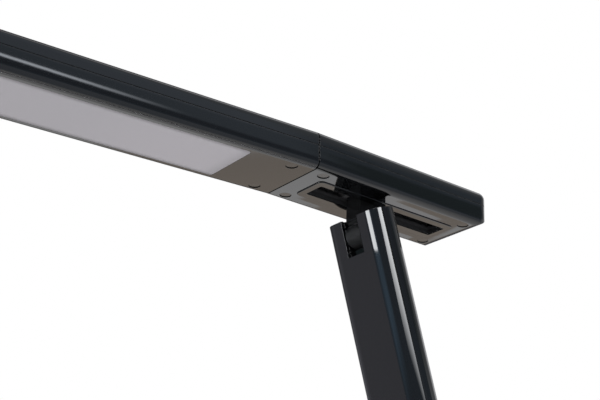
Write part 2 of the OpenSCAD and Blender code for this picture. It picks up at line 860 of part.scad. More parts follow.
// Plastic shoe round the neck, riding on the track's lips
module slide_shoe() {
    color(satin_black) on_neck() translate([neck_mid, 0, neck_drop + shoe_z]) {
        linear_extrude(shoe_h) difference() {
            square([shoe_l, shoe_w], center = true);
            square([neck_d + 2 * fit, neck_t + 2 * fit], center = true);
        }
    }
}

// Bowed leaf spring between the neck's head and the track's roof
module slide_spring() {
    span = shoe_l - 3;
    bow_r = (span * span / 4 + spring_rise * spring_rise) / (2 * spring_rise);
    half = asin(span / 2 / bow_r);
    hole_w = 2 * neck_bore_r + 2;
    crown_z = neck_drop + spring_z + spring_t + spring_rise;
    color(steel) on_neck() difference() {
        translate([neck_mid, 0, crown_z - spring_t - bow_r]) across(spring_w) rotate([0, 0, 90 - half]) {
            rotate_extrude(angle = 2 * half, $fn = 180) translate([bow_r, 0]) square([spring_t, spring_w]);
        }
        cylinder(h = far, r = hole_w / 2);
    }
}

// ---- Slide housing ----

// Places of the housing's screws, in the housing's frame
module at_housing_screws() {
    for (x = [-housing_screw_x, rear_screw_x - housing_l], y = [-1, 1]) {
        translate([x, y * screw_y, 0]) children();
    }
}

// Places of the light bar's screws, in the bar's frame
module at_bar_screws() {
    for (x = [bar_screw_x, bar_l - tip_screw_x], y = [-1, 1]) {
        translate([x, y * screw_y, 0]) children();
    }
}

// Outside form of the head, shrunk by s, from x0 to x1
module head_form(x0, x1, s) {
    translate([(x0 + x1) / 2, 0, s]) {
        soft_slab(x1 - x0 - 2 * s, head_w - 2 * s, head_h - 2 * s,
            tip_r - s, head_top_r - s, head_bottom_r - s);
    }
}

// Upright ring that follows the head's outline, from s_out in to s_in
module head_ring(x0, x1, s_out, s_in, z, h) {
    translate([(x0 + x1) / 2, 0, z]) linear_extrude(h) difference() {
        round_rect(x1 - x0 - 2 * s_out, head_w - 2 * s_out, tip_r - s_out);
        round_rect(x1 - x0 - 2 * s_in, head_w - 2 * s_in, tip_r - s_in);
    }
}

// Space behind the seam, and space in front of it, in the seam's frame
module behind_seam(x) translate([x - far, -far / 2, -far / 2]) cube(far);
module before_seam(x) translate([x, -far / 2, -far / 2]) cube(far);

// Tongue on a lower moulding that hides the line under the upper one
module split_tongue(x0, x1) {
    head_ring(x0, x1, head_wall - tongue_bite, head_wall + tongue_t, split_low - tongue_root, tongue_root);
    head_ring(x0, x1, head_wall + slip, head_wall + tongue_t, split_low - cut, cut + split_gap + tongue_h);
}

// Recess for a plug over a screw head, and the shank's hole above it
module screw_way() {
    translate([0, 0, -cut]) cylinder(h = cut + plug_seat, r = plug_r + plug_gap);
    cylinder(h = plug_seat + screw_head_h + fit, r = screw_head_r + fit);
    cylinder(h = far, r = screw_shank_r + fit);
}

// Boss under the screw's head in a lower moulding
module screw_pad(top) cylinder(h = top, r = boss_r);

// Height of the lower moulding's screw pads
pad_top = plug_seat + screw_head_h + seat_t;

module screw_post() {
    translate([0, 0, pad_top + fit]) cylinder(h = ceiling_z - pad_top + head_wall / 2, r = boss_r);
}

module screw_plug() translate([0, 0, plug_recess]) cylinder(h = screw_plug_t, r = plug_r);

module head_screw() {
    translate([0, 0, plug_seat]) cylinder(h = screw_head_h, r = screw_head_r);
    translate([0, 0, plug_seat]) cylinder(h = screw_tip_z - plug_seat, r = screw_shank_r);
}

// C-section channel whose lips hold the slide shoe
module slide_track() {
    color(satin_black) on_housing() translate([slot_x, 0, 0]) difference() {
        translate([-track_l / 2, -track_w / 2, track_z]) cube([track_l, track_w, track_top - track_z]);
        translate([-far / 2, -track_in_w / 2, track_z + lip_t]) {
            cube([far, track_in_w, track_roof - track_z - lip_t]);
        }
        linear_extrude(track_z + lip_t + cut) round_rect(slot_l, slot_w, slot_r);
    }
}

// Trim round the slot, let into the housing's floor and standing a little out of it
module slot_bezel() {
    color(gloss_black) on_housing() difference() {
        translate([bezel_x, 0, -bezel_proud]) {
            soft_slab(bezel_l, bezel_w, floor_t + bezel_proud, bezel_r, 0, bezel_edge_r);
        }
        translate([slot_x, 0, -cut]) linear_extrude(far) round_rect(slot_l, slot_w, slot_r);
    }
}

// Everything in front of the sweep at the housing's rear end, which starts at end
module sweep(end, low, r) {
    translate([end + r, 0, 0]) across(head_w) linear_extrude(head_w) {
        translate([0, low - cut]) square([far, far]);
        translate([-r, low + r]) square([far, far]);
        translate([0, low + r]) circle(r);
    }
}

module housing_base() {
    front = 3 * tip_r;
    color(gloss_black) on_housing() difference() {
        union() {
            difference() {
                intersection() {
                    head_form(-housing_l, front, 0);
                    sweep(-housing_l, 0, housing_sweep_r);
                }
                intersection() {
                    head_form(-housing_l, front, head_wall);
                    sweep(head_wall - housing_l, floor_t, sweep_in_r);
                    translate([-far / 2, -far / 2, floor_t]) cube(far);
                }
                translate([-far / 2, -far / 2, split_low]) cube(far);
            }
            split_tongue(-housing_l, front);
            at_housing_screws() screw_pad(pad_top);
        }
        translate([0, 0, axis_z]) rotate([0, bar_droop, 0]) before_seam(-seam_gap / 2);
        translate([bezel_x, 0, -cut]) linear_extrude(floor_t + 2 * cut) {
            round_rect(bezel_l + 2 * fit, bezel_w + 2 * fit, bezel_r + fit);
        }
        at_housing_screws() screw_way();
    }
}

module housing_top_cover() {
    front = 3 * tip_r;
    ribs = [slot_x - slot_l / 3, slot_x, slot_x + slot_l / 3];
    color(gloss_black) on_housing() difference() {
        union() {
            difference() {
                head_form(-housing_l, front, 0);
                head_form(-housing_l, front, head_wall);
                translate([-far / 2, -far / 2, split_high - far]) cube(far);
            }
            at_housing_screws() screw_post();
            for (x = ribs) translate([x - rib_t / 2, -track_w / 2, track_top + fit]) {
                cube([rib_t, track_w, ceiling_z - track_top]);
            }
        }
        translate([0, 0, axis_z]) rotate([0, bar_droop, 0]) before_seam(-seam_gap / 2);
        at_housing_screws() cylinder(h = screw_tip_z + screw_hole_past, r = screw_shank_r + tight);
    }
}

module housing_screws() {
    color(steel) on_housing() at_housing_screws() head_screw();
}

module housing_screw_plugs() {
    color(satin_black) on_housing() at_housing_screws() screw_plug();
}

// Plate across the housing's mouth, with the twist joint's bore and its stop groove
module housing_bulkhead() {
    w = head_w - 2 * (head_wall + tongue_t + fit);
    h = head_h - 2 * (head_wall + bulkhead_gap);
    color(satin_black) on_seam() difference() {
        translate([-seam_gap / 2 - bulkhead_t, 0, 0]) rotate([90, 0, 90]) {
            linear_extrude(bulkhead_t) round_rect(w, h, bulkhead_r);
        }
        along_x(-far / 2) cylinder(h = far, r = twist_neck_r + fit);
        along_x(-seam_gap / 2 - stop_depth - fit) {
            rotate([0, 0, 90 - stop_sweep - 10]) rotate_extrude(angle = 2 * stop_sweep + 20) {
                translate([stop_pin_y - stop_pin_r - slip, 0]) square([2 * (stop_pin_r + slip), far]);
            }
        }
    }
}

// Flanged bush that the twist spindle turns in
module twist_bush() {
    color(nylon) on_seam() difference() {
        union() {
            along_x(-seam_gap / 2 - bulkhead_t - fit) cylinder(h = bulkhead_t + fit, r = twist_neck_r);
            along_x(-seam_gap / 2 - bulkhead_t - fit - bush_t) cylinder(h = bush_t, r = bush_flange_r);
        }
        along_x(-far / 2) cylinder(h = far, r = twist_shaft_r + run_fit);
    }
}

module twist_wave_washer() {
    color(steel) on_seam() along_x(twist_nut_x + twist_nut_t + fit) {
        tube(bush_flange_r, twist_shaft_r + fit, wave_t);
    }
}

// ---- Light bar ----

// Plate across the bar's rear end, with the stop pin that runs in the bulkhead's groove
module bar_end_plate() {
    w = head_w - 2 * (head_wall + ledge_w + fit);
    h = head_h - 2 * (head_wall + end_plate_gap);
    color(satin_black) on_seam() difference() {
        union() {
            translate([seam_gap / 2, 0, 0]) rotate([90, 0, 90]) {
                linear_extrude(bulkhead_t) round_rect(w, h, bulkhead_r);
            }
            translate([0, stop_pin_y, 0]) along_x(-seam_gap / 2 - stop_depth + fit) {
                cylinder(h = seam_gap + stop_depth, r = stop_pin_r);
            }
        }
        along_x(-far / 2) cylinder(h = far, r = twist_neck_r + tight);
    }
}

// Hollow flanged spindle that holds the bar to the housing
module twist_spindle() {
    color(steel) on_seam() difference() {
        union() {
            along_x(seam_gap / 2 + bulkhead_t) cylinder(h = twist_flange_t, r = twist_flange_r);
            along_x(-seam_gap / 2 + fit) cylinder(h = seam_gap + bulkhead_t, r = twist_neck_r);
            along_x(twist_nut_x - shaft_past_nut) cylinder(h = -twist_nut_x + cut, r = twist_shaft_r);
        }
        along_x(-far / 2) cylinder(h = far, r = twist_bore_r);
    }
}

module twist_nut() {
    color(steel) on_seam() along_x(twist_nut_x) difference() {
        cylinder(h = twist_nut_t, r = twist_nut_r, $fn = 6);
        translate([0, 0, -cut]) cylinder(h = far, r = twist_shaft_r + tight);
    }
}

// Opening in the bottom of the bar, grown by s
module plate_shape(s) {
    rear = -3 * tip_r;
    front = bar_l - (head_w - plate_w) / 2 + s;
    translate([(rear + front) / 2, 0]) {
        round_rect(front - rear, plate_w + 2 * s, tip_r - (head_w - plate_w) / 2 + s);
    }
}

module bar_lower_frame() {
    rear = -3 * tip_r;
    color(gloss_black) on_bar() difference() {
        union() {
            difference() {
                head_form(rear, bar_l, 0);
                head_form(rear, bar_l, head_wall);
                translate([-far / 2, -far / 2, split_low]) cube(far);
            }
            split_tongue(rear, bar_l);
            head_ring(rear, bar_l, head_wall - tongue_bite, head_wall + ledge_w, plate_t + fit, ledge_t);
        }
        behind_seam(seam_gap / 2);
        translate([0, 0, -cut]) linear_extrude(cut + plate_t + fit) plate_shape(plate_gap);
    }
}

// Bottom plate with the diffuser's window and the screws' recesses
module bar_bottom_plate() {
    rear = -3 * tip_r;
    window_w = diffuser_w + 2 * fit;
    color(gloss_black) on_bar() difference() {
        union() {
            intersection() {
                head_form(rear, bar_l, 0);
                linear_extrude(plate_t) plate_shape(0);
            }
            at_bar_screws() screw_pad(pad_top);
        }
        behind_seam(seam_gap / 2);
        translate([diffuser_x, 0, -cut]) linear_extrude(plate_t + 2 * cut) {
            round_rect(diffuser_l + 2 * fit, window_w, diffuser_r + fit);
        }
        at_bar_screws() screw_way();
    }
}

// Opal panel, flush in the bottom plate's window, with a flange behind it
module diffuser() {
    color(white) on_bar() translate([diffuser_x, 0, 0]) {
        linear_extrude(plate_t + flange_t) round_rect(diffuser_l, diffuser_w, diffuser_r);
        translate([0, 0, plate_t]) linear_extrude(flange_t) {
            round_rect(diffuser_l + 2, flange_w, diffuser_r + 1);
        }
    }
}

// White tray with sloping sides that spreads the LEDs' light over the diffuser
module reflector() {
    foot = flange_w / 2 - reflector_side_gap;
    top = reflector_top_w / 2;
    low = stack_z + fit;
    color(white) on_bar() translate([diffuser_start, 0, 0]) rotate([90, 0, 90]) linear_extrude(diffuser_l) {
        difference() {
            polygon([[-foot, low], [foot, low], [foot, low + reflector_t], [top, reflector_top],
                [-top, reflector_top], [-foot, low + reflector_t]]);
            polygon([[-foot + reflector_foot, low - cut], [foot - reflector_foot, low - cut], [foot - reflector_foot, low + reflector_t],
                [top - reflector_t, reflector_top - reflector_t],
                [-top + reflector_t, reflector_top - reflector_t], [-foot + reflector_foot, low + reflector_t]]);
        }
    }
}

// Long board with one row of LEDs under it
module led_board() {
    lead_in = 4;
    on_bar() translate([diffuser_x, 0, led_board_z]) {
        color(white) translate([-diffuser_l / 2 - lead_in, -led_board_w / 2, 0]) {
            cube([diffuser_l + lead_in - 1, led_board_w, board_t - fit]);
        }
        color(brass) for (i = [0 : led_count - 1]) {
            translate([(i - (led_count - 1) / 2) * led_pitch - led_l / 2, -led_w / 2, -led_h]) {
                cube([led_l, led_w, led_h]);
            }
        }
    }
}

// Aluminium strip with two fins, which takes the board's heat
module led_carrier() {
    low = reflector_top + fit;
    color(aluminium) on_bar() translate([diffuser_start, 0, 0]) rotate([90, 0, 90]) {
        linear_extrude(diffuser_l) {
            translate([-carrier_w / 2, low]) square([carrier_w, carrier_t]);
            for (y = [-carrier_w / 2, carrier_w / 2 - carrier_fin_t, -carrier_fin_t / 2]) {
                translate([y, low]) square([carrier_fin_t, carrier_top - low]);
            }
        }
    }
}

module bar_wire() {
    lead_in = 4;
    low = twist_nut_x - 1;
    wire_r = twist_bore_r - bar_wire_gap;
    color(rubber) on_seam() along_x(low) {
        cylinder(h = diffuser_start - lead_in - plug_end_gap - low, r = wire_r, $fn = 24);
    }
}

module bar_top_cover() {
    rear = -3 * tip_r;
    rib_count = 7;
    rib_pitch = diffuser_l / rib_count;
    color(gloss_black) on_bar() difference() {
        union() {
            difference() {
                head_form(rear, bar_l, 0);
                head_form(rear, bar_l, head_wall);
                translate([-far / 2, -far / 2, split_high - far]) cube(far);
            }
            at_bar_screws() screw_post();
            for (i = [0 : rib_count - 1]) {
                rib_x = diffuser_start + (i + 0.5) * rib_pitch;
                translate([rib_x - rib_t / 2, -carrier_w / 2, carrier_top + fit]) {
                    cube([rib_t, carrier_w, ceiling_z - carrier_top]);
                }
            }
        }
        behind_seam(seam_gap / 2);
        at_bar_screws() cylinder(h = screw_tip_z + screw_hole_past, r = screw_shank_r + tight);
    }
}

module bar_screws() {
    color(steel) on_bar() at_bar_screws() head_screw();
}

module bar_screw_plugs() {
    color(satin_black) on_bar() at_bar_screws() screw_plug();
}

non_slip_pad();
base_bottom_plate();
base_screws();
ballast_weight();
driver_board();
dc_inlet();
base_cover();
control_board();
tact_switch();
control_panel();
power_button();
swivel_slip_ring();
turntable();
swivel_wave_washer();
swivel_nut();
base_hinge_pin();
base_hinge_washers();
base_hinge_caps();
arm_bottom_tongue();
arm_tube();
arm_top_fork();
arm_wire();
knuckle_pin();
knuckle_washers();
neck_link();
neck_wire();
slide_shoe();
slide_spring();
slide_track();
slot_bezel();
housing_base();
housing_bulkhead();
twist_bush();
twist_wave_washer();
housing_top_cover();
housing_screws();
housing_screw_plugs();
bar_end_plate();
twist_spindle();
twist_nut();
bar_lower_frame();
bar_bottom_plate();
diffuser();
reflector();
led_board();
led_carrier();
bar_wire();
bar_top_cover();
bar_screws();
bar_screw_plugs();
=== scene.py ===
# Folding LED desk lamp: the finish of every piece, from the camera and the base up to the light bar.
# Metres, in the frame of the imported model: +Z up, +X towards the tip of the light bar, +Y to the left.
import math

import bpy
from mathutils import Matrix, Vector


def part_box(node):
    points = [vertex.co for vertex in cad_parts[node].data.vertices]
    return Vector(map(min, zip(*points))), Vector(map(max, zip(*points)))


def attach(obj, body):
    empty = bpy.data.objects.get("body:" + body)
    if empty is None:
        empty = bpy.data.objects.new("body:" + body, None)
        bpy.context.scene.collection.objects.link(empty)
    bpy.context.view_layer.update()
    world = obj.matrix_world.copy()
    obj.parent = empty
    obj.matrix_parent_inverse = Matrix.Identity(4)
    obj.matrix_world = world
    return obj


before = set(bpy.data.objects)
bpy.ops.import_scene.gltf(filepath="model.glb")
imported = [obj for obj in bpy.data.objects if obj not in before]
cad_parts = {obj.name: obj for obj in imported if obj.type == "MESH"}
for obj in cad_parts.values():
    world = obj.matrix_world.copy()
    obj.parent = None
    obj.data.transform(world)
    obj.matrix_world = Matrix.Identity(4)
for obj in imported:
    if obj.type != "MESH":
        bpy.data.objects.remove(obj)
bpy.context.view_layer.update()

# ---- Camera ----
# It looks up from in front and to the left, from below the head, with a long lens.
# The head runs across the upper half of the frame and the arm leaves at the bottom.
SENSOR_W = 36.0
LENS = 69.0
CLIP_START = 0.01
CLIP_END = 50.0
CAMERA_PLACE = (0.36247, 0.37330, 0.16769)
CAMERA_AIM = (0.09381, 0.00011, 0.36277)
CAMERA_ROLL = math.radians(2.73)


def towards(place, aim):
    """Where a camera or lamp stands, and how it is turned to look at its aim."""
    look = (Vector(aim) - Vector(place)).to_track_quat("-Z", "Y").to_matrix().to_4x4()
    return Matrix.Translation(place) @ look


camera_data = bpy.data.cameras.new("camera")
camera_data.sensor_width = SENSOR_W
camera_data.lens = LENS
camera_data.clip_start = CLIP_START
camera_data.clip_end = CLIP_END
camera = bpy.data.objects.new("camera", camera_data)
bpy.context.collection.objects.link(camera)
camera.matrix_world = towards(CAMERA_PLACE, CAMERA_AIM) @ Matrix.Rotation(CAMERA_ROLL, 4, "Z")
bpy.context.scene.camera = camera
bpy.context.scene.view_settings.view_transform = "Standard"


# ---- Studio ----
# A white sweep under and behind the lamp, a soft even sky, and a darker room on the camera's side.
# Only gloss pieces show the room. Its long panels of light stand in them as stripes.
class Wire:
    """A socket of a node tree. Arithmetic on it adds Math nodes."""

    def __init__(self, tree, socket):
        self.tree = tree
        self.socket = socket

    def math(self, operation, first, second):
        """One Math node."""
        return Tree(self.tree).node("ShaderNodeMath", {"operation": operation}, {0: first, 1: second})

    def __add__(self, other):
        return self.math("ADD", self, other)

    def __radd__(self, other):
        return self.math("ADD", other, self)

    def __sub__(self, other):
        return self.math("SUBTRACT", self, other)

    def __rsub__(self, other):
        return self.math("SUBTRACT", other, self)

    def __mul__(self, other):
        return self.math("MULTIPLY", self, other)

    def __rmul__(self, other):
        return self.math("MULTIPLY", other, self)

    def __truediv__(self, other):
        return self.math("DIVIDE", self, other)

    def __rtruediv__(self, other):
        return self.math("DIVIDE", other, self)

    def __neg__(self):
        return self.math("MULTIPLY", self, -1.0)

    def __abs__(self):
        return self.math("ABSOLUTE", self, 0.0)


class Tree:
    """Adds nodes to a node tree."""

    def __init__(self, tree):
        self.tree = tree

    def node(self, kind, settings=None, sockets=None, output=0):
        """One node: its settings first, then the values or links of its sockets."""
        made = self.tree.nodes.new(kind)
        for name, value in (settings or {}).items():
            setattr(made, name, value)
        for name, value in (sockets or {}).items():
            socket = made.inputs[name]
            if isinstance(value, Wire):
                self.tree.links.new(value.socket, socket)
            elif isinstance(value, tuple) and len(value) == 3 and len(socket.default_value) == 4:
                socket.default_value = (*value, 1)
            else:
                socket.default_value = value
        return Wire(self.tree, made.outputs[output]) if made.outputs else None

    def split(self, vector):
        """The three numbers of a vector."""
        made = self.node("ShaderNodeSeparateXYZ", {}, {0: vector})
        return [Wire(self.tree, out) for out in made.socket.node.outputs]

    def vector(self, x=0.0, y=0.0, z=0.0):
        """A vector of three numbers."""
        return self.node("ShaderNodeCombineXYZ", {}, {0: x, 1: y, 2: z})

    def step(self, value, low, high):
        """0 below low, 1 above high, smooth between them."""
        return self.node("ShaderNodeMapRange", {"interpolation_type": "SMOOTHSTEP"},
                         {"Value": value, "From Min": low, "From Max": high})

    def between(self, value, low, high, soft):
        """1 from low to high, with soft ends."""
        return self.step(value, low - soft, low + soft) * (1 - self.step(value, high - soft, high + soft))

    def mix(self, factor, first, second):
        """The first colour where the factor is 0, and the second where it is 1."""
        return self.node("ShaderNodeMix", {"data_type": "RGBA"}, {0: factor, 6: first, 7: second}, 2)


# A direction in the room has a turn, its degrees from the light bar's way round to the left, and a rise, its
# degrees above level. The fittings of the left wall run aslant: they drop as the turn grows.
DEGREES = 180 / math.pi
SLANT_START = 109
SLANT = 0.2
world = bpy.data.worlds.new("studio")
bpy.context.scene.world = world
world.use_nodes = True
world.node_tree.nodes.clear()
sky = Tree(world.node_tree)
east, north, height = sky.split(sky.node("ShaderNodeTexCoord", {}, {}, "Generated"))
turn = sky.node("ShaderNodeMath", {"operation": "ARCTAN2"}, {0: north, 1: east}) * DEGREES
rise = sky.node("ShaderNodeMath", {"operation": "ARCSINE"}, {0: height}) * DEGREES
slanted_rise = rise + (turn - SLANT_START) * SLANT

# The left wall: a dark shelf, a paler wall over it, a door beyond them, and a light foot. In this section an
# edge is the two degrees where it begins and ends, and a band is its two sides and its softness.
WALL_GLOW = (0.38, 0.46, 0.55)
UPPER_WALL_GLOW = (0.52, 0.60, 0.71)
UPPER_WALL_FOOT = (30.2, 31.0)
SHELF_GLOW = (0.15, 0.18, 0.23)
SHELF_TOP = (24.0, 25.4)
DOOR_GLOW = (0.12, 0.165, 0.18)
DOOR_SIDE = (124.5, 129.0)
MIDDLE_DOOR_GLOW = (0.25, 0.31, 0.38)
MIDDLE_DOOR_FOOT = (27.8, 29.4)
UPPER_DOOR_GLOW = (0.42, 0.46, 0.50)
UPPER_DOOR_FOOT = (32.0, 35.0)
NEAR_GLOW = (0.20, 0.26, 0.33)
NEAR_TOP = (10.0, 19.0)
FAR_GLOW = (0.42, 0.44, 0.46)
FAR_SIDE = (140.0, 155.0)
LOW_SIDE_GLOW = (0.52, 0.57, 0.65)
LOW_SIDE_TOP = (-2.0, 8.0)
LOW_FLANK_GLOW = (1.00, 1.02, 1.06)
LOW_FLANK_SIDE = (132.0, 142.0)
LOW_FLANK_TOP = (14.0, 20.0)
wall = sky.mix(sky.step(slanted_rise, *UPPER_WALL_FOOT), WALL_GLOW, UPPER_WALL_GLOW)
wall = sky.mix(sky.step(slanted_rise, *SHELF_TOP), SHELF_GLOW, wall)
door = sky.mix(sky.step(slanted_rise, *MIDDLE_DOOR_FOOT), DOOR_GLOW, MIDDLE_DOOR_GLOW)
door = sky.mix(sky.step(slanted_rise, *UPPER_DOOR_FOOT), door, UPPER_DOOR_GLOW)
wall = sky.mix(sky.step(turn, *DOOR_SIDE), wall, door)
wall = sky.mix(sky.step(rise, *NEAR_TOP), NEAR_GLOW, wall)
wall = sky.mix(sky.step(turn, *FAR_SIDE), wall, FAR_GLOW)
wall = sky.mix(sky.step(rise, *LOW_SIDE_TOP), LOW_SIDE_GLOW, wall)
low_flank = sky.step(turn, *LOW_FLANK_SIDE) * (1 - sky.step(rise, *LOW_FLANK_TOP))
wall = sky.mix(low_flank, wall, LOW_FLANK_GLOW)

# The front, paler towards the right and dim above and below, joins the left wall in a soft corner
FRONT_GLOW = (0.455, 0.458, 0.52)
FRONT_SIDE = (-42.0, -34.0)
DIM_GLOW = (0.12, 0.13, 0.14)
FRONT_HEIGHT = (-20.0, 4.5, 3.5)
CORNER = (88.0, 98.0)
front = sky.mix(sky.step(turn, *FRONT_SIDE), FRONT_GLOW, NEAR_GLOW)
front = sky.mix(sky.between(rise, *FRONT_HEIGHT), DIM_GLOW, front)
room = sky.mix(sky.step(turn, *CORNER), front, wall)

# The rear, beyond both sides, has a warm horizon and one bright end. The lit table lies below it.
REAR_GLOW = (0.20, 0.20, 0.21)
FRONT_AND_SIDES = (-96, 175, 6)
RIGHT_REAR_GLOW = (1.25, 1.25, 1.29)
ALL_BUT_RIGHT_REAR = (-152.0, 170.0, 8.0)
HORIZON_GLOW = (0.77, 0.67, 0.58)
HORIZON_TOP = (-18.0, -13.0)
TABLE_GLOW = (1.26, 1.26, 1.27)
TABLE_TOP = (-22.8, -22.4)
TABLE_RIGHT_SIDE = (-112.0, -104.0)
TABLE_LEFT_SIDE = (138.0, 166.0)
right_rear = 1 - sky.between(turn, *ALL_BUT_RIGHT_REAR)
rear = sky.mix(right_rear, REAR_GLOW, RIGHT_REAR_GLOW)
rear = sky.mix(sky.step(rise, *HORIZON_TOP), HORIZON_GLOW, rear)
room = sky.mix(1 - sky.between(turn, *FRONT_AND_SIDES), room, rear)
beside_table = sky.step(turn, *TABLE_RIGHT_SIDE) * (1 - sky.step(turn, *TABLE_LEFT_SIDE))
on_table = (1 - sky.step(rise, *TABLE_TOP)) * (1 - beside_table)
room = sky.mix(on_table, room, TABLE_GLOW)

# A wide panel of light in front, with a blue haze at its foot. The foot bows up to both sides.
BLUE_GLOW = (0.58, 0.93, 1.30)
BLUE_SIDES = (-31.0, 5.0, 9.0)
BLUE_FOOT = (-17.5, -9.5)
BLUE_TOP = (-9.0, -5.0)
BLUE_FADE = (-12.5, -10.0)
BLUE_FADED = 0.35
FRONT_LIGHT_GLOW = (14.6, 14.9, 15.3)
FRONT_LIGHT_SIDES = (-30.0, -1.5, 2.0)
FRONT_LIGHT_TOP = 3.0
FRONT_LIGHT_SOFT = 0.08
FOOT_MIDDLE_TURN = -1
FOOT_MIDDLE_RISE = -9.41
FOOT_BOW = 0.0029
blue = sky.between(turn, *BLUE_SIDES) * sky.step(rise, *BLUE_FOOT) * (1 - sky.step(rise, *BLUE_TOP))
blue = blue * (1 - sky.step(rise, *BLUE_FADE) * BLUE_FADED)
off_middle = turn - FOOT_MIDDLE_TURN
light_foot = off_middle * off_middle * FOOT_BOW + FOOT_MIDDLE_RISE
front_light = sky.between(turn, *FRONT_LIGHT_SIDES)
front_light = front_light * sky.between(rise, light_foot, FRONT_LIGHT_TOP, FRONT_LIGHT_SOFT)

# A tall panel of light to the left of it, which narrows upwards and fades out downwards along a slant
TALL_GLOW = (17.3, 17.6, 18.1)
TALL_START = 52.0
TALL_KNEE = (-8.0, 5.0)
TALL_KNEE_W = 7.0
TALL_END = 86.5
TALL_END_LEAN = -0.7
TALL_SOFT = 1.5
TALL_TOP = (8.0, 14.0)
TALL_FADE_TURN = 71
TALL_FADE_SLANT = 0.16
TALL_FADE_FOOT = 5.2
TALL_FADE_H = 11.6
above_foot = rise - (turn - TALL_FADE_TURN) * TALL_FADE_SLANT + TALL_FADE_FOOT
tall_fade = sky.node("ShaderNodeClamp", {}, {"Value": above_foot / TALL_FADE_H})
tall_start = sky.step(rise, *TALL_KNEE) * TALL_KNEE_W + TALL_START
tall_end = rise * TALL_END_LEAN + TALL_END
tall_light = sky.between(turn, tall_start, tall_end, TALL_SOFT) * tall_fade * (1 - sky.step(rise, *TALL_TOP))

# A small bright skylight above the two, and a long thin light along the shelf
SKYLIGHT_GLOW = (14.0, 14.2, 14.6)
SKYLIGHT_SIDES = (22.0, 52.0, 1.0)
SKYLIGHT_HEIGHT = (14.0, 32.0, 1.0)
STRIPE_GLOW = (6.2, 6.6, 7.2)
STRIPE_HEIGHT = (24.9, 26.2, 0.4)
STRIPE_START = (95.0, 100.0)
STRIPE_END = (110.0, 119.0)
skylight = sky.between(turn, *SKYLIGHT_SIDES) * sky.between(rise, *SKYLIGHT_HEIGHT)
stripe = sky.between(slanted_rise, *STRIPE_HEIGHT) * (1 - sky.step(turn, *STRIPE_END))
stripe = stripe * sky.step(turn, *STRIPE_START)
ROOM_LIGHTS = [
    (blue, BLUE_GLOW),
    (tall_light, TALL_GLOW),
    (front_light, FRONT_LIGHT_GLOW),
    (skylight, SKYLIGHT_GLOW),
    (stripe, STRIPE_GLOW),
]
for light, glow in ROOM_LIGHTS:
    room = sky.mix(light, room, glow)

# The camera sees white, gloss sees the room, and all else is lit by the even sky
WHITE = (1.0, 1.0, 1.0)
SKY_GLOW = (0.62, 0.62, 0.62)
camera_ray = sky.node("ShaderNodeLightPath", {}, {}, "Is Camera Ray")
glossy_ray = sky.node("ShaderNodeLightPath", {}, {}, "Is Glossy Ray")
lit = sky.mix(camera_ray, sky.mix(glossy_ray, SKY_GLOW, room), WHITE)
background = sky.node("ShaderNodeBackground", {}, {"Color": lit, "Strength": 1.0})
sky.node("ShaderNodeOutputWorld", {}, {"Surface": background})


def new_material(name):
    """An empty material and the tree that builds it."""
    material = bpy.data.materials.new(name)
    material.use_nodes = True
    material.node_tree.nodes.clear()
    return material, Tree(material.node_tree)


# The sweep fades out between two distances from its middle, and isn't there for gloss or from below
SWEEP_COLOUR = (0.86, 0.86, 0.86)
SWEEP_HALF = 0.9
SWEEP_FADE = (0.3, 0.85)
floor_corners = [(x * SWEEP_HALF, y * SWEEP_HALF, 0) for x, y in ((-1, -1), (1, -1), (1, 1), (-1, 1))]
floor_mesh = bpy.data.meshes.new("floor")
floor_mesh.from_pydata(floor_corners, [], [(0, 1, 2, 3)])
floor = bpy.data.objects.new("floor", floor_mesh)
bpy.context.collection.objects.link(floor)
white_sweep, t = new_material("white_sweep")
floor_point = t.node("ShaderNodeTexCoord", {}, {}, "Object")
away = t.node("ShaderNodeVectorMath", {"operation": "LENGTH"}, {0: floor_point}, "Value")
in_gloss = t.node("ShaderNodeLightPath", {}, {}, "Is Glossy Ray")
from_below = t.node("ShaderNodeNewGeometry", {}, {}, "Backfacing")
seen = (1 - in_gloss) * (1 - from_below) * (1 - t.step(away, *SWEEP_FADE))
t.node("ShaderNodeOutputMaterial", {}, {"Surface": t.node("ShaderNodeMixShader", {}, {
    0: 1 - seen,
    1: t.node("ShaderNodeBsdfDiffuse", {}, {"Color": SWEEP_COLOUR}),
    2: t.node("ShaderNodeBsdfTransparent"),
})})
floor_mesh.materials.append(white_sweep)

# Soft lamps: name, place, aim, width, height, watts. No gloss shows them, as it has the room's lights.
STUDIO_LAMPS = [
    ("key_lamp", (0.9, 0.9, 1.5), (0.1, 0, 0.2), 0.9, 0.9, 22.0),
    ("fill_lamp", (-1.2, -0.6, 1.2), (0.1, 0, 0.2), 1.0, 1.0, 14.0),
]
for name, place, aim, width, tall, power in STUDIO_LAMPS:
    lamp = bpy.data.lights.new(name, "AREA")
    lamp.shape = "RECTANGLE"
    lamp.size = width
    lamp.size_y = tall
    lamp.energy = power
    holder = bpy.data.objects.new(name, lamp)
    bpy.context.collection.objects.link(holder)
    holder.visible_camera = False
    holder.visible_glossy = False
    holder.matrix_world = towards(place, aim)


# ---- Non-slip pad ----
# A sheet of soft black rubber with a moulded diamond grip, glued under the base plate.
# Its raised tops are a little greyer, where dust clings to them.

# From here on the sizes of pieces and patterns are written in millimetres
MM = 0.001
PAD_RUBBER = (0.017, 0.017, 0.018)
PAD_DUST = (0.075, 0.072, 0.066)
PAD_ROUGH = 0.72
DUST_ROUGH = 0.25
DIAMOND_TURN = (0, 0, math.radians(45))
DIAMOND_SIZE = 3.0
DIAMOND_TOP = (0.35, 0.9)
GRIP_DEPTH = 0.25


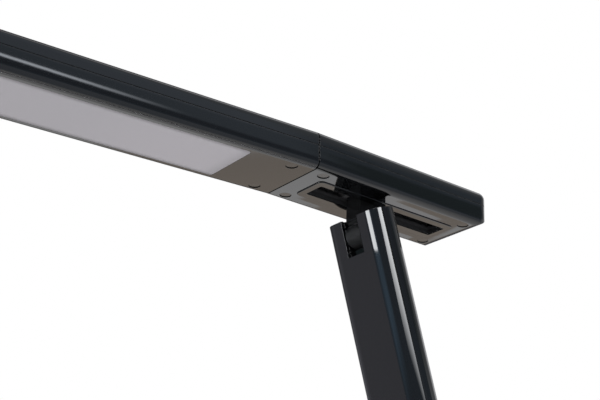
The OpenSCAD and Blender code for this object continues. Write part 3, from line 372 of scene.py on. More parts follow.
def spot(t, centre=(0, 0, 0), turn=(0, 0, 0), stretch=(1, 1, 1)):
    """The point on the piece, in millimetres from a centre, along turned axes, drawn out by stretch."""
    point = t.node("ShaderNodeTexCoord", {}, {}, "Object")
    return t.node("ShaderNodeMapping", {"vector_type": "TEXTURE"}, {
        "Vector": point, "Location": centre, "Rotation": turn, "Scale": tuple(MM * s for s in stretch)})


def cloud(t, size, detail=2, where=None):
    """Soft random patches of 0 to 1, size millimetres across."""
    sockets = {"Vector": where or spot(t), "Scale": 1 / size, "Detail": detail}
    return t.node("ShaderNodeTexNoise", {}, sockets)


def wave(t, value, length):
    """A sine of a place in millimetres, from 0 to 1, length millimetres from crest to crest."""
    return t.node("ShaderNodeMath", {"operation": "SINE"}, {0: value * (2 * math.pi / length)}) * 0.5 + 0.5


def relief(t, height, depth, under=None):
    """Raises a height of 0 to 1 by depth millimetres, over the normal of what lies under it."""
    sockets = {"Height": height, "Distance": depth * MM, "Strength": 1.0}
    if under:
        sockets["Normal"] = under
    return t.node("ShaderNodeBump", {}, sockets)


def grain(t, size, depth, detail=2, where=None, under=None):
    """Soft random relief, size millimetres across and depth millimetres high."""
    return relief(t, cloud(t, size, detail, where), depth, under)


def finish(t, colour, roughness, normal, **more):
    """Closes a material. More sockets go by their own names, with _ for a space."""
    sockets = {"Base Color": colour, "Roughness": roughness, "Normal": normal}
    sockets.update({name.replace("_", " "): value for name, value in more.items()})
    t.node("ShaderNodeOutputMaterial", {}, {"Surface": t.node("ShaderNodeBsdfPrincipled", {}, sockets)})


def dress(material, *nodes):
    """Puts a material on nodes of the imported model."""
    for node in nodes:
        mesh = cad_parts[node].data
        mesh.materials.clear()
        mesh.materials.append(material)


pad_rubber, t = new_material("pad_rubber")
x, y, _ = t.split(spot(t, turn=DIAMOND_TURN))
diamonds = wave(t, x, DIAMOND_SIZE) * wave(t, y, DIAMOND_SIZE)
dust = t.step(diamonds, *DIAMOND_TOP) * cloud(t, size=14, detail=4)
finish(t, t.mix(dust, PAD_RUBBER, PAD_DUST), PAD_ROUGH + dust * DUST_ROUGH,
       relief(t, diamonds, GRIP_DEPTH, under=grain(t, size=0.3, depth=0.02)))
dress(pad_rubber, "non_slip_pad")


# ---- Base plate ----
# A pressed sheet of zinc-plated steel that closes the base from below.
# The zinc has a faint crystal pattern and the rolling marks of the sheet.
ZINC_LIGHT = (0.62, 0.63, 0.65)
ZINC_DARK = (0.42, 0.43, 0.45)
CRYSTAL_SHARE = 0.6
ROLLED_SHARE = 0.4
ZINC_ROUGH = 0.24
CRYSTAL_ROUGH = 0.10
ROLLED_ROUGH = 0.12


def plated_steel(name, crystal, rolled_out):
    """Zinc plate with crystals of a size in millimetres, and rolling marks drawn out by rolled_out."""
    material, t = new_material(name)
    crystals = t.node("ShaderNodeTexVoronoi", {}, {"Vector": spot(t), "Scale": 1 / crystal}, "Color")
    cell, _, _ = t.split(crystals)
    rolled = cloud(t, size=0.5, detail=3, where=spot(t, stretch=rolled_out))
    finish(t, t.mix(cell * CRYSTAL_SHARE + rolled * ROLLED_SHARE, ZINC_DARK, ZINC_LIGHT),
           ZINC_ROUGH + cell * CRYSTAL_ROUGH + rolled * ROLLED_ROUGH,
           relief(t, rolled, depth=0.01), Metallic=1.0)
    return material


dress(plated_steel("base_plate_zinc", crystal=6.0, rolled_out=(12, 1, 1)), "base_bottom_plate")


# ---- Base screws ----
# Four self-tapping screws, rolled from steel wire and blackened, hold the base plate to the cover's posts.
# Their black coat is thin, and bare steel shows through where the driver has bitten.
SCREW_BLACK = (0.035, 0.035, 0.038)
SCREW_BARE = (0.34, 0.33, 0.32)
SCREW_METAL = 0.9


def patchy(t, least, more, size, detail=2):
    """A roughness that runs, in soft patches, from least up to more above it."""
    return least + cloud(t, size, detail) * more


screw_black, t = new_material("screw_black")
worn = t.step(cloud(t, size=0.7, detail=4), low=0.52, high=0.72)
finish(t, t.mix(worn, SCREW_BLACK, SCREW_BARE), patchy(t, least=0.30, more=0.2, size=0.4),
       grain(t, size=0.25, depth=0.01), Metallic=SCREW_METAL)
dress(screw_black, "base_screws")


# ---- Ballast ----
# A thick steel slab in grey primer, that lies on the base plate round the cover's screw posts.
# It keeps the lamp from tipping when the head reaches out. Rust shows where the primer is thin.
PRIMER_GREY = (0.105, 0.108, 0.112)
RUST_BROWN = (0.085, 0.045, 0.025)
PRIMER_ROUGH = 0.62
RUST_ROUGH = 0.3
ballast_primer, t = new_material("ballast_primer")
rust_patches = t.step(cloud(t, size=9, detail=5), low=0.60, high=0.72)
rust = rust_patches * t.step(cloud(t, size=1.2, detail=3), low=0.40, high=0.60)
finish(t, t.mix(rust, PRIMER_GREY, RUST_BROWN), PRIMER_ROUGH + rust * RUST_ROUGH,
       grain(t, size=1.4, depth=0.30, detail=4))
dress(ballast_primer, "ballast_weight")


# ---- Driver board ----
# A small glass-fibre board behind the power inlet: a wound coil, a moulded chip and a block capacitor.
# It turns the adapter's voltage into a steady current for the light.
BOARD_GREEN = (0.012, 0.085, 0.030)
BOARD_TRACK = (0.035, 0.150, 0.055)
LANE_PITCH = 3.2
LANE_SIDE = (0.10, 0.14)
LANE_DEPTH = 0.1
COIL_COPPER = (0.42, 0.16, 0.06)
COIL_BAND = (11.5, 20.5, 0.1)
COIL_METAL = 0.9
WINDING_PITCH = 0.45
WINDING_DEPTH = 0.9
CHIP_EPOXY = (0.02, 0.02, 0.022)
CAPACITOR_TAN = (0.36, 0.25, 0.13)
CAPACITOR_SIDE = (22.0, 22.2)
BOARD_TOP = (1.25, 1.30)
BOARD_ROUGH = 0.34
COMPONENT_ROUGH = 0.16


def mask_green(t, where):
    """Green solder mask, paler on the copper tracks: its colour, and 0 on the tracks and 1 between them."""
    from_track = t.node("ShaderNodeTexVoronoi", {"feature": "DISTANCE_TO_EDGE"},
                        {"Vector": where, "Scale": 1 / LANE_PITCH}, "Distance")
    lanes = t.step(from_track, *LANE_SIDE)
    return t.mix(lanes, BOARD_TRACK, BOARD_GREEN), lanes


board_low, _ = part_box("driver_board")
driver_finish, t = new_material("driver_board")
where = spot(t, centre=tuple(board_low))
_, y, z = t.split(where)
green, lanes = mask_green(t, where)
parts = t.step(z, *BOARD_TOP)
coil = t.between(y, *COIL_BAND)
component = t.mix(t.step(y, *CAPACITOR_SIDE), t.mix(coil, CHIP_EPOXY, COIL_COPPER), CAPACITOR_TAN)
windings = wave(t, z, WINDING_PITCH) * coil * parts
finish(t, t.mix(parts, green, component), BOARD_ROUGH + parts * COMPONENT_ROUGH,
       relief(t, lanes * LANE_DEPTH + windings * WINDING_DEPTH, depth=0.12),
       Metallic=coil * parts * COIL_METAL)
dress(driver_finish, "driver_board")


# ---- Power inlet ----
# A round low-voltage socket in the base's rear wall, with a shell of black nylon.
# Its centre contact is a turned brass pin, nickel-plated.
INLET_NYLON = (0.016, 0.016, 0.017)
INLET_ROUGH = 0.42
PIN_NICKEL = (0.66, 0.64, 0.60)
PIN_POLISH = 0.22
PIN_R = 1.15
FINISH_SOFT = 0.1


def middle(node):
    """The middle of a node's box."""
    low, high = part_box(node)
    return tuple((low + high) / 2)


def off_axis(t, first, second):
    """The distance from an axis, from the two numbers across it."""
    return t.node("ShaderNodeMath", {"operation": "SQRT"}, {0: first * first + second * second})


inlet_finish, t = new_material("dc_inlet")
_, y, z = t.split(spot(t, centre=middle("dc_inlet")))
pin = 1 - t.step(off_axis(t, y, z), PIN_R, PIN_R + FINISH_SOFT)
finish(t, t.mix(pin, INLET_NYLON, PIN_NICKEL), INLET_ROUGH - pin * PIN_POLISH,
       grain(t, size=0.5, depth=0.03, detail=3), Metallic=pin)
dress(inlet_finish, "dc_inlet")


# ---- Base cover ----
# The base's shell, moulded in piano-black plastic and polished in the mould.
# The gloss is broken only by a faint orange peel, hairline wiping marks and a little dust.
PIANO_BLACK = (0.0038, 0.0041, 0.0047)
PIANO_DARK = 0.85
PIANO_ROUGH = 0.045
GLOSS_IOR = 1.5
WIDE_PEEL = 0.75
FINE_PEEL = 0.25
PEEL_DEPTH = 0.010
WIPED_TURN = (0.3, 0.2, 0.5)
WIPED_STRETCH = (60, 1, 1)
WIPED_ROUGH = 0.012
SPECK_GREY = (0.055, 0.056, 0.058)
SPECK_COVER = 0.6
SPECK_ROUGH = 0.25
# A paler grey for the slot's walls: painted light in the slot's shade
SLOT_WALL_PAINTED_LIGHT = (0.028, 0.029, 0.031)
MOULD_ROUGH = 0.45


def shaded(t, mask, colour, dark):
    """A colour that goes down to a share of itself, dark, where the mask is 0."""
    return t.mix(mask, tuple(dark * c for c in colour), colour)


def mottled(t, colour, dark, size, detail=2):
    """A colour with soft darker patches, size millimetres across."""
    return shaded(t, cloud(t, size, detail), colour, dark)


def soft_edge(t, radius, samples=4):
    """The normal of a piece whose sharp edges are rounded by a radius in millimetres."""
    return t.node("ShaderNodeBevel", {"samples": samples}, {"Radius": radius * MM})


def dust_specks(t):
    """Tiny specks of dust, that lie in wide patches."""
    tiny = t.step(cloud(t, size=0.55, detail=1), low=0.80, high=0.86)
    return tiny * t.step(cloud(t, size=26), low=0.45, high=0.65)


def piano_black(name, colour=PIANO_BLACK, roughness=PIANO_ROUGH, edge=0.22, peel=1.0, marks=1.0,
                crown=None, painted_light_walls=None, painted_wall_light=SLOT_WALL_PAINTED_LIGHT):
    """Moulded gloss black. Edge is its edges' radius in millimetres, and peel and marks its shares of the
    orange peel and of the wiping and dust. Crown bends the normal of a swelling face. The last but one
    argument finds walls in shade, and there the plastic turns matt and takes the last argument's paler
    colour, as painted light."""
    material, t = new_material(name)
    normal = soft_edge(t, edge)
    if crown:
        normal = crown(t, normal)
    skin = cloud(t, size=14, detail=1) * WIDE_PEEL + cloud(t, size=3.5, detail=1) * FINE_PEEL
    wipes = cloud(t, size=0.35, where=spot(t, turn=WIPED_TURN, stretch=WIPED_STRETCH))
    wiped = t.step(wipes, low=0.66, high=0.80)
    specks = dust_specks(t)
    face = t.mix(specks * SPECK_COVER * marks, mottled(t, colour, dark=PIANO_DARK, size=40), SPECK_GREY)
    gloss = roughness + wiped * WIPED_ROUGH * marks + specks * SPECK_ROUGH * marks
    # Walls in shade turn matt and take a paler colour: painted light
    if painted_light_walls:
        painted_light_wall = painted_light_walls(t)
        face = t.mix(painted_light_wall, face, painted_wall_light)
        gloss = gloss + painted_light_wall * MOULD_ROUGH
    finish(t, face, gloss, relief(t, skin, PEEL_DEPTH * peel, under=normal), IOR=GLOSS_IOR)
    return material


dress(piano_black("base_gloss"), "base_cover")


# ---- Control board and switch ----
# A green board on posts under the panel, with one click switch that the power button presses.
# The switch is a tinned frame round a black plunger.
LANE_SHIFT = (1.3 * MM, 0.7 * MM, 0)
MASK_DEPTH = 0.02
SWITCH_TIN = (0.60, 0.60, 0.58)
SWITCH_ROUGH = 0.35
PLUNGER_BLACK = (0.018, 0.018, 0.02)
PLUNGER_ROUGH = 0.15
PLUNGER_R = 1.8
control_finish, t = new_material("control_board")
green, lanes = mask_green(t, spot(t, centre=LANE_SHIFT))
finish(t, green, patchy(t, least=0.30, more=0.1, size=8), relief(t, lanes, MASK_DEPTH))
dress(control_finish, "control_board")
switch_finish, t = new_material("tact_switch")
x, y, _ = t.split(spot(t, centre=middle("tact_switch")))
plunger = 1 - t.step(off_axis(t, x, y), PLUNGER_R, PLUNGER_R + FINISH_SOFT)
finish(t, t.mix(plunger, SWITCH_TIN, PLUNGER_BLACK), SWITCH_ROUGH + plunger * PLUNGER_ROUGH,
       grain(t, size=0.4, depth=0.01), Metallic=1 - plunger)
dress(switch_finish, "tact_switch")


# ---- Control panel ----
# A flush gloss panel over the board. Five small light windows beside the button show the brightness step:
# milky plastic rods, moulded in a row from small to large and pressed in level with the face.
PANEL_BLACK = (0.0045, 0.0050, 0.0065)
WINDOW_MILK = (0.62, 0.64, 0.66)
ACRYLIC_IOR = 1.49
WINDOW_COUNT = 5
WINDOW_PITCH = 5.0
WINDOW_CLEAR = 5.0
WINDOW_SMALL_R = 0.55
WINDOW_GROWTH_R = 0.14
WINDOW_PROUD = 0.04
WINDOW_DEPTH = 1.2
WINDOW_FACETS = 24
dress(piano_black("panel_gloss", PANEL_BLACK, roughness=0.03, edge=0.12, peel=0.4), "control_panel")

window_milk, t = new_material("window_milk")
finish(t, mottled(t, WINDOW_MILK, dark=0.8, size=0.4), patchy(t, least=0.22, more=0.1, size=0.8),
       grain(t, size=0.3, depth=0.004), IOR=ACRYLIC_IOR)


class Grower(Tree):
    """A geometry tree with named inputs, run once on an empty mesh."""

    def __init__(self, name, sizes):
        super().__init__(bpy.data.node_groups.new(name, "GeometryNodeTree"))
        self.tree.interface.new_socket("Geometry", in_out="OUTPUT", socket_type="NodeSocketGeometry")
        self.values = {}
        for size, value in sizes.items():
            kind = "NodeSocketInt" if isinstance(value, int) else "NodeSocketFloat"
            socket = self.tree.interface.new_socket(size, in_out="INPUT", socket_type=kind)
            self.values[socket.identifier] = value
        self.inputs = self.tree.nodes.new("NodeGroupInput")
        self.name = name

    def size(self, name):
        """One of the named inputs."""
        return Wire(self.tree, self.inputs.outputs[name])

    def grow(self, geometry, material):
        """The finished mesh object, with its instances real and its material set."""
        real = self.node("GeometryNodeRealizeInstances", {}, {"Geometry": geometry})
        painted = self.node("GeometryNodeSetMaterial", {}, {"Geometry": real, "Material": material})
        out = self.tree.nodes.new("NodeGroupOutput")
        self.tree.links.new(painted.socket, out.inputs[0])
        stub = bpy.data.objects.new(self.name + "_stub", bpy.data.meshes.new(self.name + "_stub"))
        bpy.context.collection.objects.link(stub)
        modifier = stub.modifiers.new("grow", "NODES")
        modifier.node_group = self.tree
        for identifier, value in self.values.items():
            modifier[identifier] = value
        grown = bpy.data.meshes.new_from_object(stub.evaluated_get(bpy.context.evaluated_depsgraph_get()))
        stub.modifiers.remove(modifier)
        bpy.data.objects.remove(stub)
        grown.name = self.name
        piece = bpy.data.objects.new(self.name, grown)
        bpy.context.collection.objects.link(piece)
        return piece


panel_low, panel_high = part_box("control_panel")
_, button_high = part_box("power_button")
rods = Grower("level_windows", {
    "Count": WINDOW_COUNT,
    "Pitch": WINDOW_PITCH * MM,
    "First X": (panel_low.x + panel_high.x) / 2,
    "First Y": button_high.y + WINDOW_CLEAR * MM,
    "Face": panel_high.z + WINDOW_PROUD * MM,
    "Small": WINDOW_SMALL_R * MM,
    "Growth": WINDOW_GROWTH_R * MM,
    "Depth": WINDOW_DEPTH * MM,
})

# A rod stands at each point of a row along the panel, and each is a little wider than the one before
first = rods.vector(rods.size("First X"), rods.size("First Y"), rods.size("Face") - rods.size("Depth") / 2)
row = rods.node("GeometryNodeMeshLine", {}, {
    "Count": rods.size("Count"), "Start Location": first, "Offset": rods.vector(y=rods.size("Pitch"))})
rod = rods.node("GeometryNodeMeshCylinder", {}, {
    "Vertices": WINDOW_FACETS, "Radius": 1.0, "Depth": rods.size("Depth")})
radius = rods.size("Small") + rods.node("GeometryNodeInputIndex") * rods.size("Growth")
stood = rods.node("GeometryNodeInstanceOnPoints", {}, {
    "Points": row, "Instance": rod, "Scale": rods.vector(radius, radius, 1.0)})
level_windows = rods.grow(stood, window_milk)
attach(level_windows, "base")


# ---- Power button ----
# A round satin cap of black plastic with a shallow dish for the fingertip. A flange under the panel keeps it
# in the panel's hole. A fine ring near its rim is painted a pale grey: a painted highlight.
BUTTON_BLACK = (0.024, 0.024, 0.026)
BUTTON_RING_HIGHLIGHT = (0.30, 0.31, 0.32)
RING_BAND = (3.1, 3.4, 0.05)
RING_LEVEL = (0.5, 1.0)
RING_POLISH = 0.1
button_finish, t = new_material("power_button")
x, y, z = t.split(spot(t, centre=middle("power_button")))
# A pale ring near the rim: a painted highlight on the black cap
ring_highlight = t.between(off_axis(t, x, y), *RING_BAND) * t.step(z, *RING_LEVEL)
finish(t, t.mix(ring_highlight, BUTTON_BLACK, BUTTON_RING_HIGHLIGHT),
       patchy(t, least=0.36, more=0.1, size=0.5) - ring_highlight * RING_POLISH,
       relief(t, cloud(t, size=0.18) * (1 - ring_highlight), depth=0.012))
dress(button_finish, "power_button")


# ---- Swivel ----
# The turntable, turned from aluminium and lacquered gloss black, stands on a nylon slip ring.
# Under the cover a spring-steel wave washer and a plated nut draw it down, which gives the turn its drag.
TURNED_PITCH = 0.35
TURNED_SHARE = 0.15
NYLON_CREAM = (0.66, 0.64, 0.58)
NYLON_GLOW = 0.1
SPRING_STEEL = (0.46, 0.42, 0.36)
SPRING_BLUE = (0.22, 0.24, 0.32)
swivel_axis = (middle("base_hinge_pin")[0], 0, 0)
lacquer_turned, t = new_material("turntable_lacquer")
x, y, _ = t.split(spot(t, centre=swivel_axis))
rings = wave(t, off_axis(t, x, y), TURNED_PITCH)
finish(t, mottled(t, PIANO_BLACK, dark=PIANO_DARK, size=18), patchy(t, least=0.07, more=0.02, size=4),
       relief(t, rings * TURNED_SHARE + cloud(t, size=5, detail=1), depth=0.004,
              under=soft_edge(t, radius=0.3)), IOR=GLOSS_IOR)
dress(lacquer_turned, "turntable")

natural_nylon, t = new_material("natural_nylon")
finish(t, mottled(t, NYLON_CREAM, dark=0.86, size=6, detail=3),
       patchy(t, least=0.42, more=0.12, size=0.9, detail=3),
       grain(t, size=0.4, depth=0.015), Subsurface_Weight=NYLON_GLOW)
dress(natural_nylon, "swivel_slip_ring")

wave_steel, t = new_material("wave_steel")
blued = t.step(cloud(t, size=5), low=0.45, high=0.7)
finish(t, t.mix(blued, SPRING_STEEL, SPRING_BLUE), patchy(t, least=0.26, more=0.12, size=0.5),
       grain(t, size=0.3, depth=0.008, where=spot(t, stretch=(8, 1, 1))), Metallic=1.0)
dress(wave_steel, "swivel_wave_washer")
dress(plated_steel("nut_zinc", crystal=2.5, rolled_out=(1, 1, 1)), "swivel_nut")


# ---- Base hinge ----
# A ground steel pin through the turntable's cheeks and the arm's foot, with a polished friction washer on
# each side. The drag alone holds the arm at any lean. Dished black caps sit in the cheeks over its ends.
GROUND_STEEL = (0.60, 0.61, 0.63)
GROUND_DARK = 0.82
GROUND_ROUGH = 0.16
MARKS_ROUGH = 0.14
MARKS_LENGTH = 30


def ground_steel(name, along):
    """Bright steel with fine grinding marks round the axis that along names."""
    material, t = new_material(name)
    drawn_round = tuple(1 if axis == along else MARKS_LENGTH for axis in "xyz")
    marks = cloud(t, size=0.12, where=spot(t, stretch=drawn_round))
    finish(t, shaded(t, marks, GROUND_STEEL, GROUND_DARK), GROUND_ROUGH + marks * MARKS_ROUGH,
           relief(t, marks, depth=0.004), Metallic=1.0)
    return material


pin_steel = ground_steel("pin_steel", "y")
dress(pin_steel, "base_hinge_pin", "base_hinge_washers")
dress(piano_black("hinge_cap_gloss", roughness=0.12, edge=0.1), "base_hinge_caps")


# ---- Arm ----
# A flat-sided aluminium extrusion, lacquered gloss black, plugged onto a die-cast foot and a die-cast fork.
# Under the lacquer the drawing marks run the length of the tube. Its round flanks show them as fine streaks.
ARM_BLACK = (0.0048, 0.0050, 0.0056)
ARM_ROUGH = 0.022
ARM_LEAN = (0, math.radians(18), 0)
DRAWN_OUT = (1, 1, 90)
LACQUER_WAVES = 0.4
CASTING_BLACK = (0.015, 0.015, 0.0165)
CASTING_ROUGH = 0.34
GRAIN_ROUGH = 0.12
WIRE_BLACK = (0.014, 0.014, 0.015)
WIRE_RIBS = (1, 1, 6)


def arm_lacquer(name, streaks):
    """Gloss lacquer over drawn aluminium. Streaks is how much the drawing marks show through."""
    material, t = new_material(name)
    lengthwise = spot(t, centre=middle("base_hinge_pin"), turn=ARM_LEAN, stretch=DRAWN_OUT)
    drawn = cloud(t, size=1.1, where=lengthwise)
    specks = dust_specks(t)
    finish(t, t.mix(specks * SPECK_COVER, mottled(t, ARM_BLACK, dark=PIANO_DARK, size=40), SPECK_GREY),
           ARM_ROUGH + specks * SPECK_ROUGH,
           relief(t, drawn * streaks + cloud(t, size=9, detail=1) * LACQUER_WAVES, depth=0.006,
                  under=soft_edge(t, radius=0.25)), IOR=GLOSS_IOR)
    return material


def powder_black(name):
    """Black powder coat, with its fine even grain."""
    material, t = new_material(name)
    grains = cloud(t, size=0.6)
    finish(t, mottled(t, CASTING_BLACK, dark=0.8, size=12, detail=3), CASTING_ROUGH + grains * GRAIN_ROUGH,
           relief(t, grains, depth=0.03))
    return material


def wire_jacket(name):
    """The soft black jacket of a wire."""
    material, t = new_material(name)
    finish(t, mottled(t, WIRE_BLACK, dark=0.8, size=5), patchy(t, least=0.48, more=0.1, size=0.8),
           grain(t, size=0.5, depth=0.03, where=spot(t, stretch=WIRE_RIBS)))
    return material


dress(powder_black("foot_powder"), "arm_bottom_tongue")
dress(arm_lacquer("arm_lacquer", streaks=1.0), "arm_tube")
dress(arm_lacquer("fork_lacquer", streaks=0.6), "arm_top_fork")
dress(wire_jacket("arm_wire_jacket"), "arm_wire")


# ---- Knuckle ----
# The fork's casting holds the neck's barrel on a hollow steel pin, with a thin steel washer on each side.
# The pin is pressed into the casting, and the walls of the tube's two ears hide its ends.
dress(pin_steel, "knuckle_pin", "knuckle_washers")


# ---- Neck ----
# A small zinc die-casting, lacquered black: a barrel round the pin, a flat neck, and a slide head inside the
# lamp head. The barrel is left satin where it turns between the ears. The wire runs up through its bore.
NECK_BLACK = (0.0135, 0.014, 0.015)
NECK_ROUGH = 0.10
NECK_PATCHES = 0.03
NECK_SHEEN = 0.3
BARREL_GREY = (0.013, 0.0135, 0.014)
BARREL_ROUGH = 0.50
BARREL_R = 7.6
SATIN_FADE = 0.4
neck_lacquer, t = new_material("neck_lacquer")
x, _, z = t.split(spot(t, centre=middle("knuckle_pin")))
satin = 1 - t.step(x * x + z * z, (BARREL_R - SATIN_FADE) ** 2, BARREL_R ** 2)
finish(t, t.mix(satin, mottled(t, NECK_BLACK, dark=PIANO_DARK, size=9), BARREL_GREY),
       NECK_ROUGH + satin * BARREL_ROUGH + cloud(t, size=2.5) * NECK_PATCHES,
       grain(t, size=3, depth=0.012, detail=1, under=soft_edge(t, radius=0.35, samples=6)),
       IOR=GLOSS_IOR, Specular_IOR_Level=NECK_SHEEN)
dress(neck_lacquer, "neck_link")
dress(wire_jacket("neck_wire_jacket"), "neck_wire")


# ---- Slide ----
# The neck's head runs in a black anodised track, on a black acetal shoe with a bowed leaf spring above it.
# The spring's push gives the slide its drag.
# The shoe and the track are painted a paler grey than their black: painted light in the shaded slot
SHOE_PAINTED_LIGHT_GREY = (0.080, 0.080, 0.083)
TRACK_PAINTED_LIGHT_GREY = (0.085, 0.087, 0.092)
TRACK_DARK = 0.7
TRACK_ROUGH = 0.32
RUBBED_OUT = (50, 1, 1)
RUBBED_ROUGH = 0.15
ANODISED_METAL = 0.3
shoe_acetal, t = new_material("shoe_acetal")
finish(t, mottled(t, SHOE_PAINTED_LIGHT_GREY, dark=0.8, size=5), patchy(t, least=0.30, more=0.1, size=0.6),
       grain(t, size=0.35, depth=0.01))
dress(shoe_acetal, "slide_shoe")
dress(wave_steel, "slide_spring")
track_anodised, t = new_material("track_anodised")
rubbed = cloud(t, size=0.25, where=spot(t, stretch=RUBBED_OUT))
finish(t, shaded(t, rubbed, TRACK_PAINTED_LIGHT_GREY, TRACK_DARK), TRACK_ROUGH + rubbed * RUBBED_ROUGH,
       relief(t, rubbed, depth=0.008), Metallic=ANODISED_METAL)
dress(track_anodised, "slide_track")


# ---- Housing ----
# The lamp head's rear part: a tray and a cover moulded in piano black, that meet in a fine line along the
# sides, and a gloss bezel let into the tray round the slot. The sides swell very slightly between their
# rounded edges. The walls of the slot are matt and painted a paler grey, painted light in the slot's shade.

# The sides' middle is a height over the underside. Their swell falls off with the square of the way from it.
SIDE_MID = 8.4
SIDE_SWELL = 0.0054
SWELL_DEPTH = 1.0
BEZEL_PROUD = 0.45
BEZEL_TILT = -0.018
SLOT_WALL_FOOT = 0.25
SLOT_WALL_FULL = 0.40
SLOT_WALLS = (-8.0, 8.0, 0.4)
seam_low, seam_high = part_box("housing_base")
SEAM_SPOT = (seam_high.x, 0, seam_low.z)

# How the underside leans where the plastic drew in as it cooled: beside the slot and by the rim on its left,
# and the same on its right. Each row has the lean, the band across the head and the band along it, from the
# seam. The rear end leans as a whole, with the rim on the right just in front of it.
HOLLOWS = [
    (0.007, (8.5, 13.0, 0.7), (-78, -8, 4)),
    (-0.008, (13.8, 19.0, 0.7), (-90, -48, 5)),
    (-0.009, (-13.2, -8.5, 0.7), (-46, -14, 4)),
    (-0.009, (-18.0, -13.2, 0.7), (-50, -28, 3)),
]
REAR_LEAN = 0.018
REAR_END = (-92, -86)
REAR_RIM_END = (-86, -82)
REAR_RIM_START = (-76, -68)
REAR_RIM_SIDE = (-13.8, -12.4)
UNDERSIDE_TOP = (0.1, 0.5)


def side_crown(droop):
    """The swell of the head's sides, along a head that droops by an angle from its seam."""
    def crown(t, under):
        x, _, z = t.split(spot(t, centre=SEAM_SPOT))
        up = z + x * math.tan(droop) - SIDE_MID
        return relief(t, 1 - up * up * SIDE_SWELL, SWELL_DEPTH, under)
    return crown


def drawn_in(t, under):
    """The side's swell, and the underside's slight hollows."""
    x, y, z = t.split(spot(t, centre=SEAM_SPOT))
    lean = sum(t.between(y, *across) * t.between(x, *along) * tilt for tilt, across, along in HOLLOWS)
    rear_rim = t.step(x, *REAR_RIM_END) * (1 - t.step(x, *REAR_RIM_START)) * (1 - t.step(y, *REAR_RIM_SIDE))
    lean = lean + ((1 - t.step(x, *REAR_END)) + rear_rim) * REAR_LEAN
    sideways = t.vector(y=lean * (1 - t.step(z, *UNDERSIDE_TOP)))
    return t.node("ShaderNodeVectorMath", {"operation": "ADD"}, {0: side_crown(0.0)(t, under), 1: sideways})


def level_face(t, under):
    """The faces of the bezel and the plugs lie a degree off the underside round them."""
    return t.node("ShaderNodeVectorMath", {"operation": "ADD"}, {0: under, 1: (0.0, BEZEL_TILT, 0.0)})


def slot_walls(face_z):
    """What lies above a piece's face and well within the housing's sides."""
    def painted_light_walls(t):
        _, y, z = t.split(spot(t, centre=SEAM_SPOT))
        return t.step(z, face_z + SLOT_WALL_FOOT, face_z + SLOT_WALL_FULL) * t.between(y, *SLOT_WALLS)
    return painted_light_walls


# The slot's walls in the tray and the bezel take a paler grey, painted light in their shade
dress(piano_black("housing_gloss", crown=drawn_in, painted_light_walls=slot_walls(0.0)), "housing_base")
dress(piano_black("housing_cover_gloss", crown=side_crown(0.0)), "housing_top_cover")
bezel_gloss = piano_black("bezel_gloss", roughness=0.06, edge=0.15, crown=level_face,
                          painted_light_walls=slot_walls(-BEZEL_PROUD))
dress(bezel_gloss, "slot_bezel")


# ---- Housing fixings ----
# Four screws come up from below into posts in the cover. A soft black plug, pressed into each hole,
# hides the screw a little below the face.
PLUG_BLACK = (0.006, 0.006, 0.0064)
plug_rubber, t = new_material("plug_rubber")
finish(t, mottled(t, PLUG_BLACK, dark=0.8, size=3), patchy(t, least=0.08, more=0.04, size=0.8),
       grain(t, size=0.5, depth=0.006, under=level_face(t, soft_edge(t, radius=0.2))))
dress(screw_black, "housing_screws")
dress(plug_rubber, "housing_screw_plugs")


# ---- Twist joint ----
# A moulded wall at the seam carries a nylon bush. The bar's hollow steel spindle turns in it against a wave
# washer and a nut, and a pin that runs in the wall's groove stops the turn at both ends.
dress(powder_black("bulkhead_black"), "housing_bulkhead")
dress(natural_nylon, "twist_bush")
dress(wave_steel, "twist_wave_washer")
dress(powder_black("end_plate_black"), "bar_end_plate")
dress(ground_steel("spindle_steel", "x"), "twist_spindle")
dress(plated_steel("small_nut_zinc", crystal=1.5, rolled_out=(1, 1, 1)), "twist_nut")


# ---- Light bar shells ----
# A lower frame, a bottom plate and a top cover in piano black, with the same rounded section as the housing.
# They are moulded in one tool, so their sides meet in a hairline. The walls of the gap between the plate and
# the frame are matt and painted pale, painted light that fills the gap's shade.
BAR_DROOP = math.radians(2.5)
# The gap walls' pale grey is painted light over the gap's shade
GAP_PAINTED_LIGHT = (0.120, 0.120, 0.124)
PLATE_SIDE = 18.1
PLATE_GAP = 0.5

# Behind a wall's face the matt finish and its painted light hold to the first of these depths, and from the
# second all is gloss
MATT_TO = 0.04
GLOSS_FROM = 0.10


def frame_rim(t):
    """The frame's inner wall, which faces the plate across the gap."""
    _, y, _ = t.split(spot(t))
    inner_wall = PLATE_SIDE + PLATE_GAP
    return 1 - t.step(abs(y), inner_wall + MATT_TO, inner_wall + GLOSS_FROM)


def plate_rim(t):
    """The plate's long sides, which face the frame across the gap."""
    _, y, _ = t.split(spot(t))
    return t.step(abs(y), PLATE_SIDE - GLOSS_FROM, PLATE_SIDE - MATT_TO)


dress(piano_black("bar_frame_gloss", crown=side_crown(BAR_DROOP), painted_light_walls=frame_rim, painted_wall_light=GAP_PAINTED_LIGHT),
      "bar_lower_frame")
dress(piano_black("bar_cover_gloss", crown=side_crown(BAR_DROOP)), "bar_top_cover")
dress(piano_black("bar_plate_gloss", edge=0.12, marks=0.6, painted_light_walls=plate_rim, painted_wall_light=GAP_PAINTED_LIGHT),
      "bar_bottom_plate")


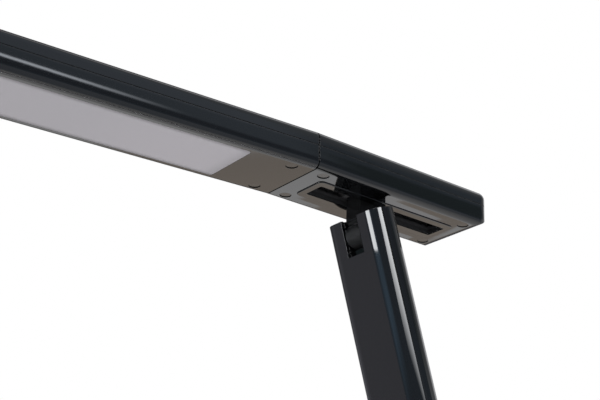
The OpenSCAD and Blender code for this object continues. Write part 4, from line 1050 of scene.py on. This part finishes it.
# ---- Diffuser ----
# An opal acrylic plate let into the frame, matt outside, so the lights behind it melt into one soft field.
# Unlit it is a pale lilac grey. Painted shade darkens it beside the frame, at its rear end and towards the
# tip.
OPAL_LIGHT = (0.412, 0.395, 0.430)
OPAL_TIP_PAINTED_SHADE = (0.382, 0.370, 0.402)
FAR_FROM = 25
FAR_FULL = 80
FAR_LEAST = 0.9
FAR_CLOUDS = 0.1
OPAL_EDGE_PAINTED_SHADE = (0.215, 0.208, 0.228)
EDGE_LIP = 1
EDGE_FADE = 3.6
END_LIP = 0.5
END_FADE = 7.0
END_SHADE = 0.45
OPAL_SHEEN = 0.35
opal_low, opal_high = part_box("diffuser")
opal_side = (opal_high.y - opal_low.y) / 2 / MM - EDGE_LIP
opal_end = (opal_low.x - opal_high.x) / 2 / MM
opal, t = new_material("opal")
x, y, _ = t.split(spot(t, centre=middle("diffuser")))
# Painted shade beside the frame's lip, at the rear end and towards the tip
beside_frame_shade = t.step(abs(y), opal_side - EDGE_FADE, opal_side)
rear_end_shade = 1 - t.step(x, opal_end + END_LIP, opal_end + END_LIP + END_FADE)
tip_shade = t.step(x, opal_end + FAR_FROM, opal_end + FAR_FULL)
opal_with_tip_shade = t.mix(tip_shade * (FAR_LEAST + cloud(t, size=60) * FAR_CLOUDS), OPAL_LIGHT, OPAL_TIP_PAINTED_SHADE)
finish(t, t.mix(beside_frame_shade * beside_frame_shade, t.mix(rear_end_shade * END_SHADE, opal_with_tip_shade, OPAL_EDGE_PAINTED_SHADE), OPAL_EDGE_PAINTED_SHADE),
       patchy(t, least=0.30, more=0.06, size=0.5), grain(t, size=0.35, depth=0.006),
       IOR=ACRYLIC_IOR, Specular_IOR_Level=OPAL_SHEEN)
dress(opal, "diffuser")


# ---- Light engine ----
# A white metal-core board carries a row of lights on its lower face, each a white case round a yellow lens.
# A folded white reflector opens below it, and a finned aluminium carrier above it takes the heat away.
BOARD_WHITE = (0.80, 0.81, 0.80)
LIGHT_PHOSPHOR = (0.72, 0.55, 0.10)
LENS_DEPTH = (1.35, 1.45)
LED_ROUGH = 0.38
LENS_POLISH = 0.1
REFLECTOR_WHITE = (0.86, 0.86, 0.86)
CARRIER_ALUMINIUM = (0.68, 0.69, 0.71)
CARRIER_DARK = 0.86
CARRIER_ROUGH = 0.26
EXTRUDED_OUT = (80, 1, 1)
EXTRUDED_ROUGH = 0.16
led_low, led_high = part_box("led_board")
led_finish, t = new_material("led_board")
x, _, z = t.split(spot(t, centre=(led_low.x, 0, led_high.z)))
lens = t.step(-(z + x * math.tan(BAR_DROOP)), *LENS_DEPTH)
finish(t, t.mix(lens, mottled(t, BOARD_WHITE, dark=0.94, size=7), LIGHT_PHOSPHOR),
       LED_ROUGH - lens * LENS_POLISH, grain(t, size=0.5, depth=0.01))
dress(led_finish, "led_board")
reflector_film, t = new_material("reflector_film")
finish(t, mottled(t, REFLECTOR_WHITE, dark=0.96, size=9), patchy(t, least=0.55, more=0.1, size=0.4),
       grain(t, size=0.3, depth=0.01))
dress(reflector_film, "reflector")
carrier_aluminium, t = new_material("carrier_aluminium")
extruded = cloud(t, size=0.3, where=spot(t, stretch=EXTRUDED_OUT))
finish(t, shaded(t, extruded, CARRIER_ALUMINIUM, CARRIER_DARK), CARRIER_ROUGH + extruded * EXTRUDED_ROUGH,
       relief(t, extruded, depth=0.01), Metallic=1.0)
dress(carrier_aluminium, "led_carrier")
dress(wire_jacket("bar_wire_jacket"), "bar_wire")


# ---- Light bar fixings ----
# The bar closes as the housing does, with four blackened screws from below into posts in its cover.
# A black plug hides each of them.
dress(screw_black, "bar_screws")
dress(plug_rubber, "bar_screw_plugs")
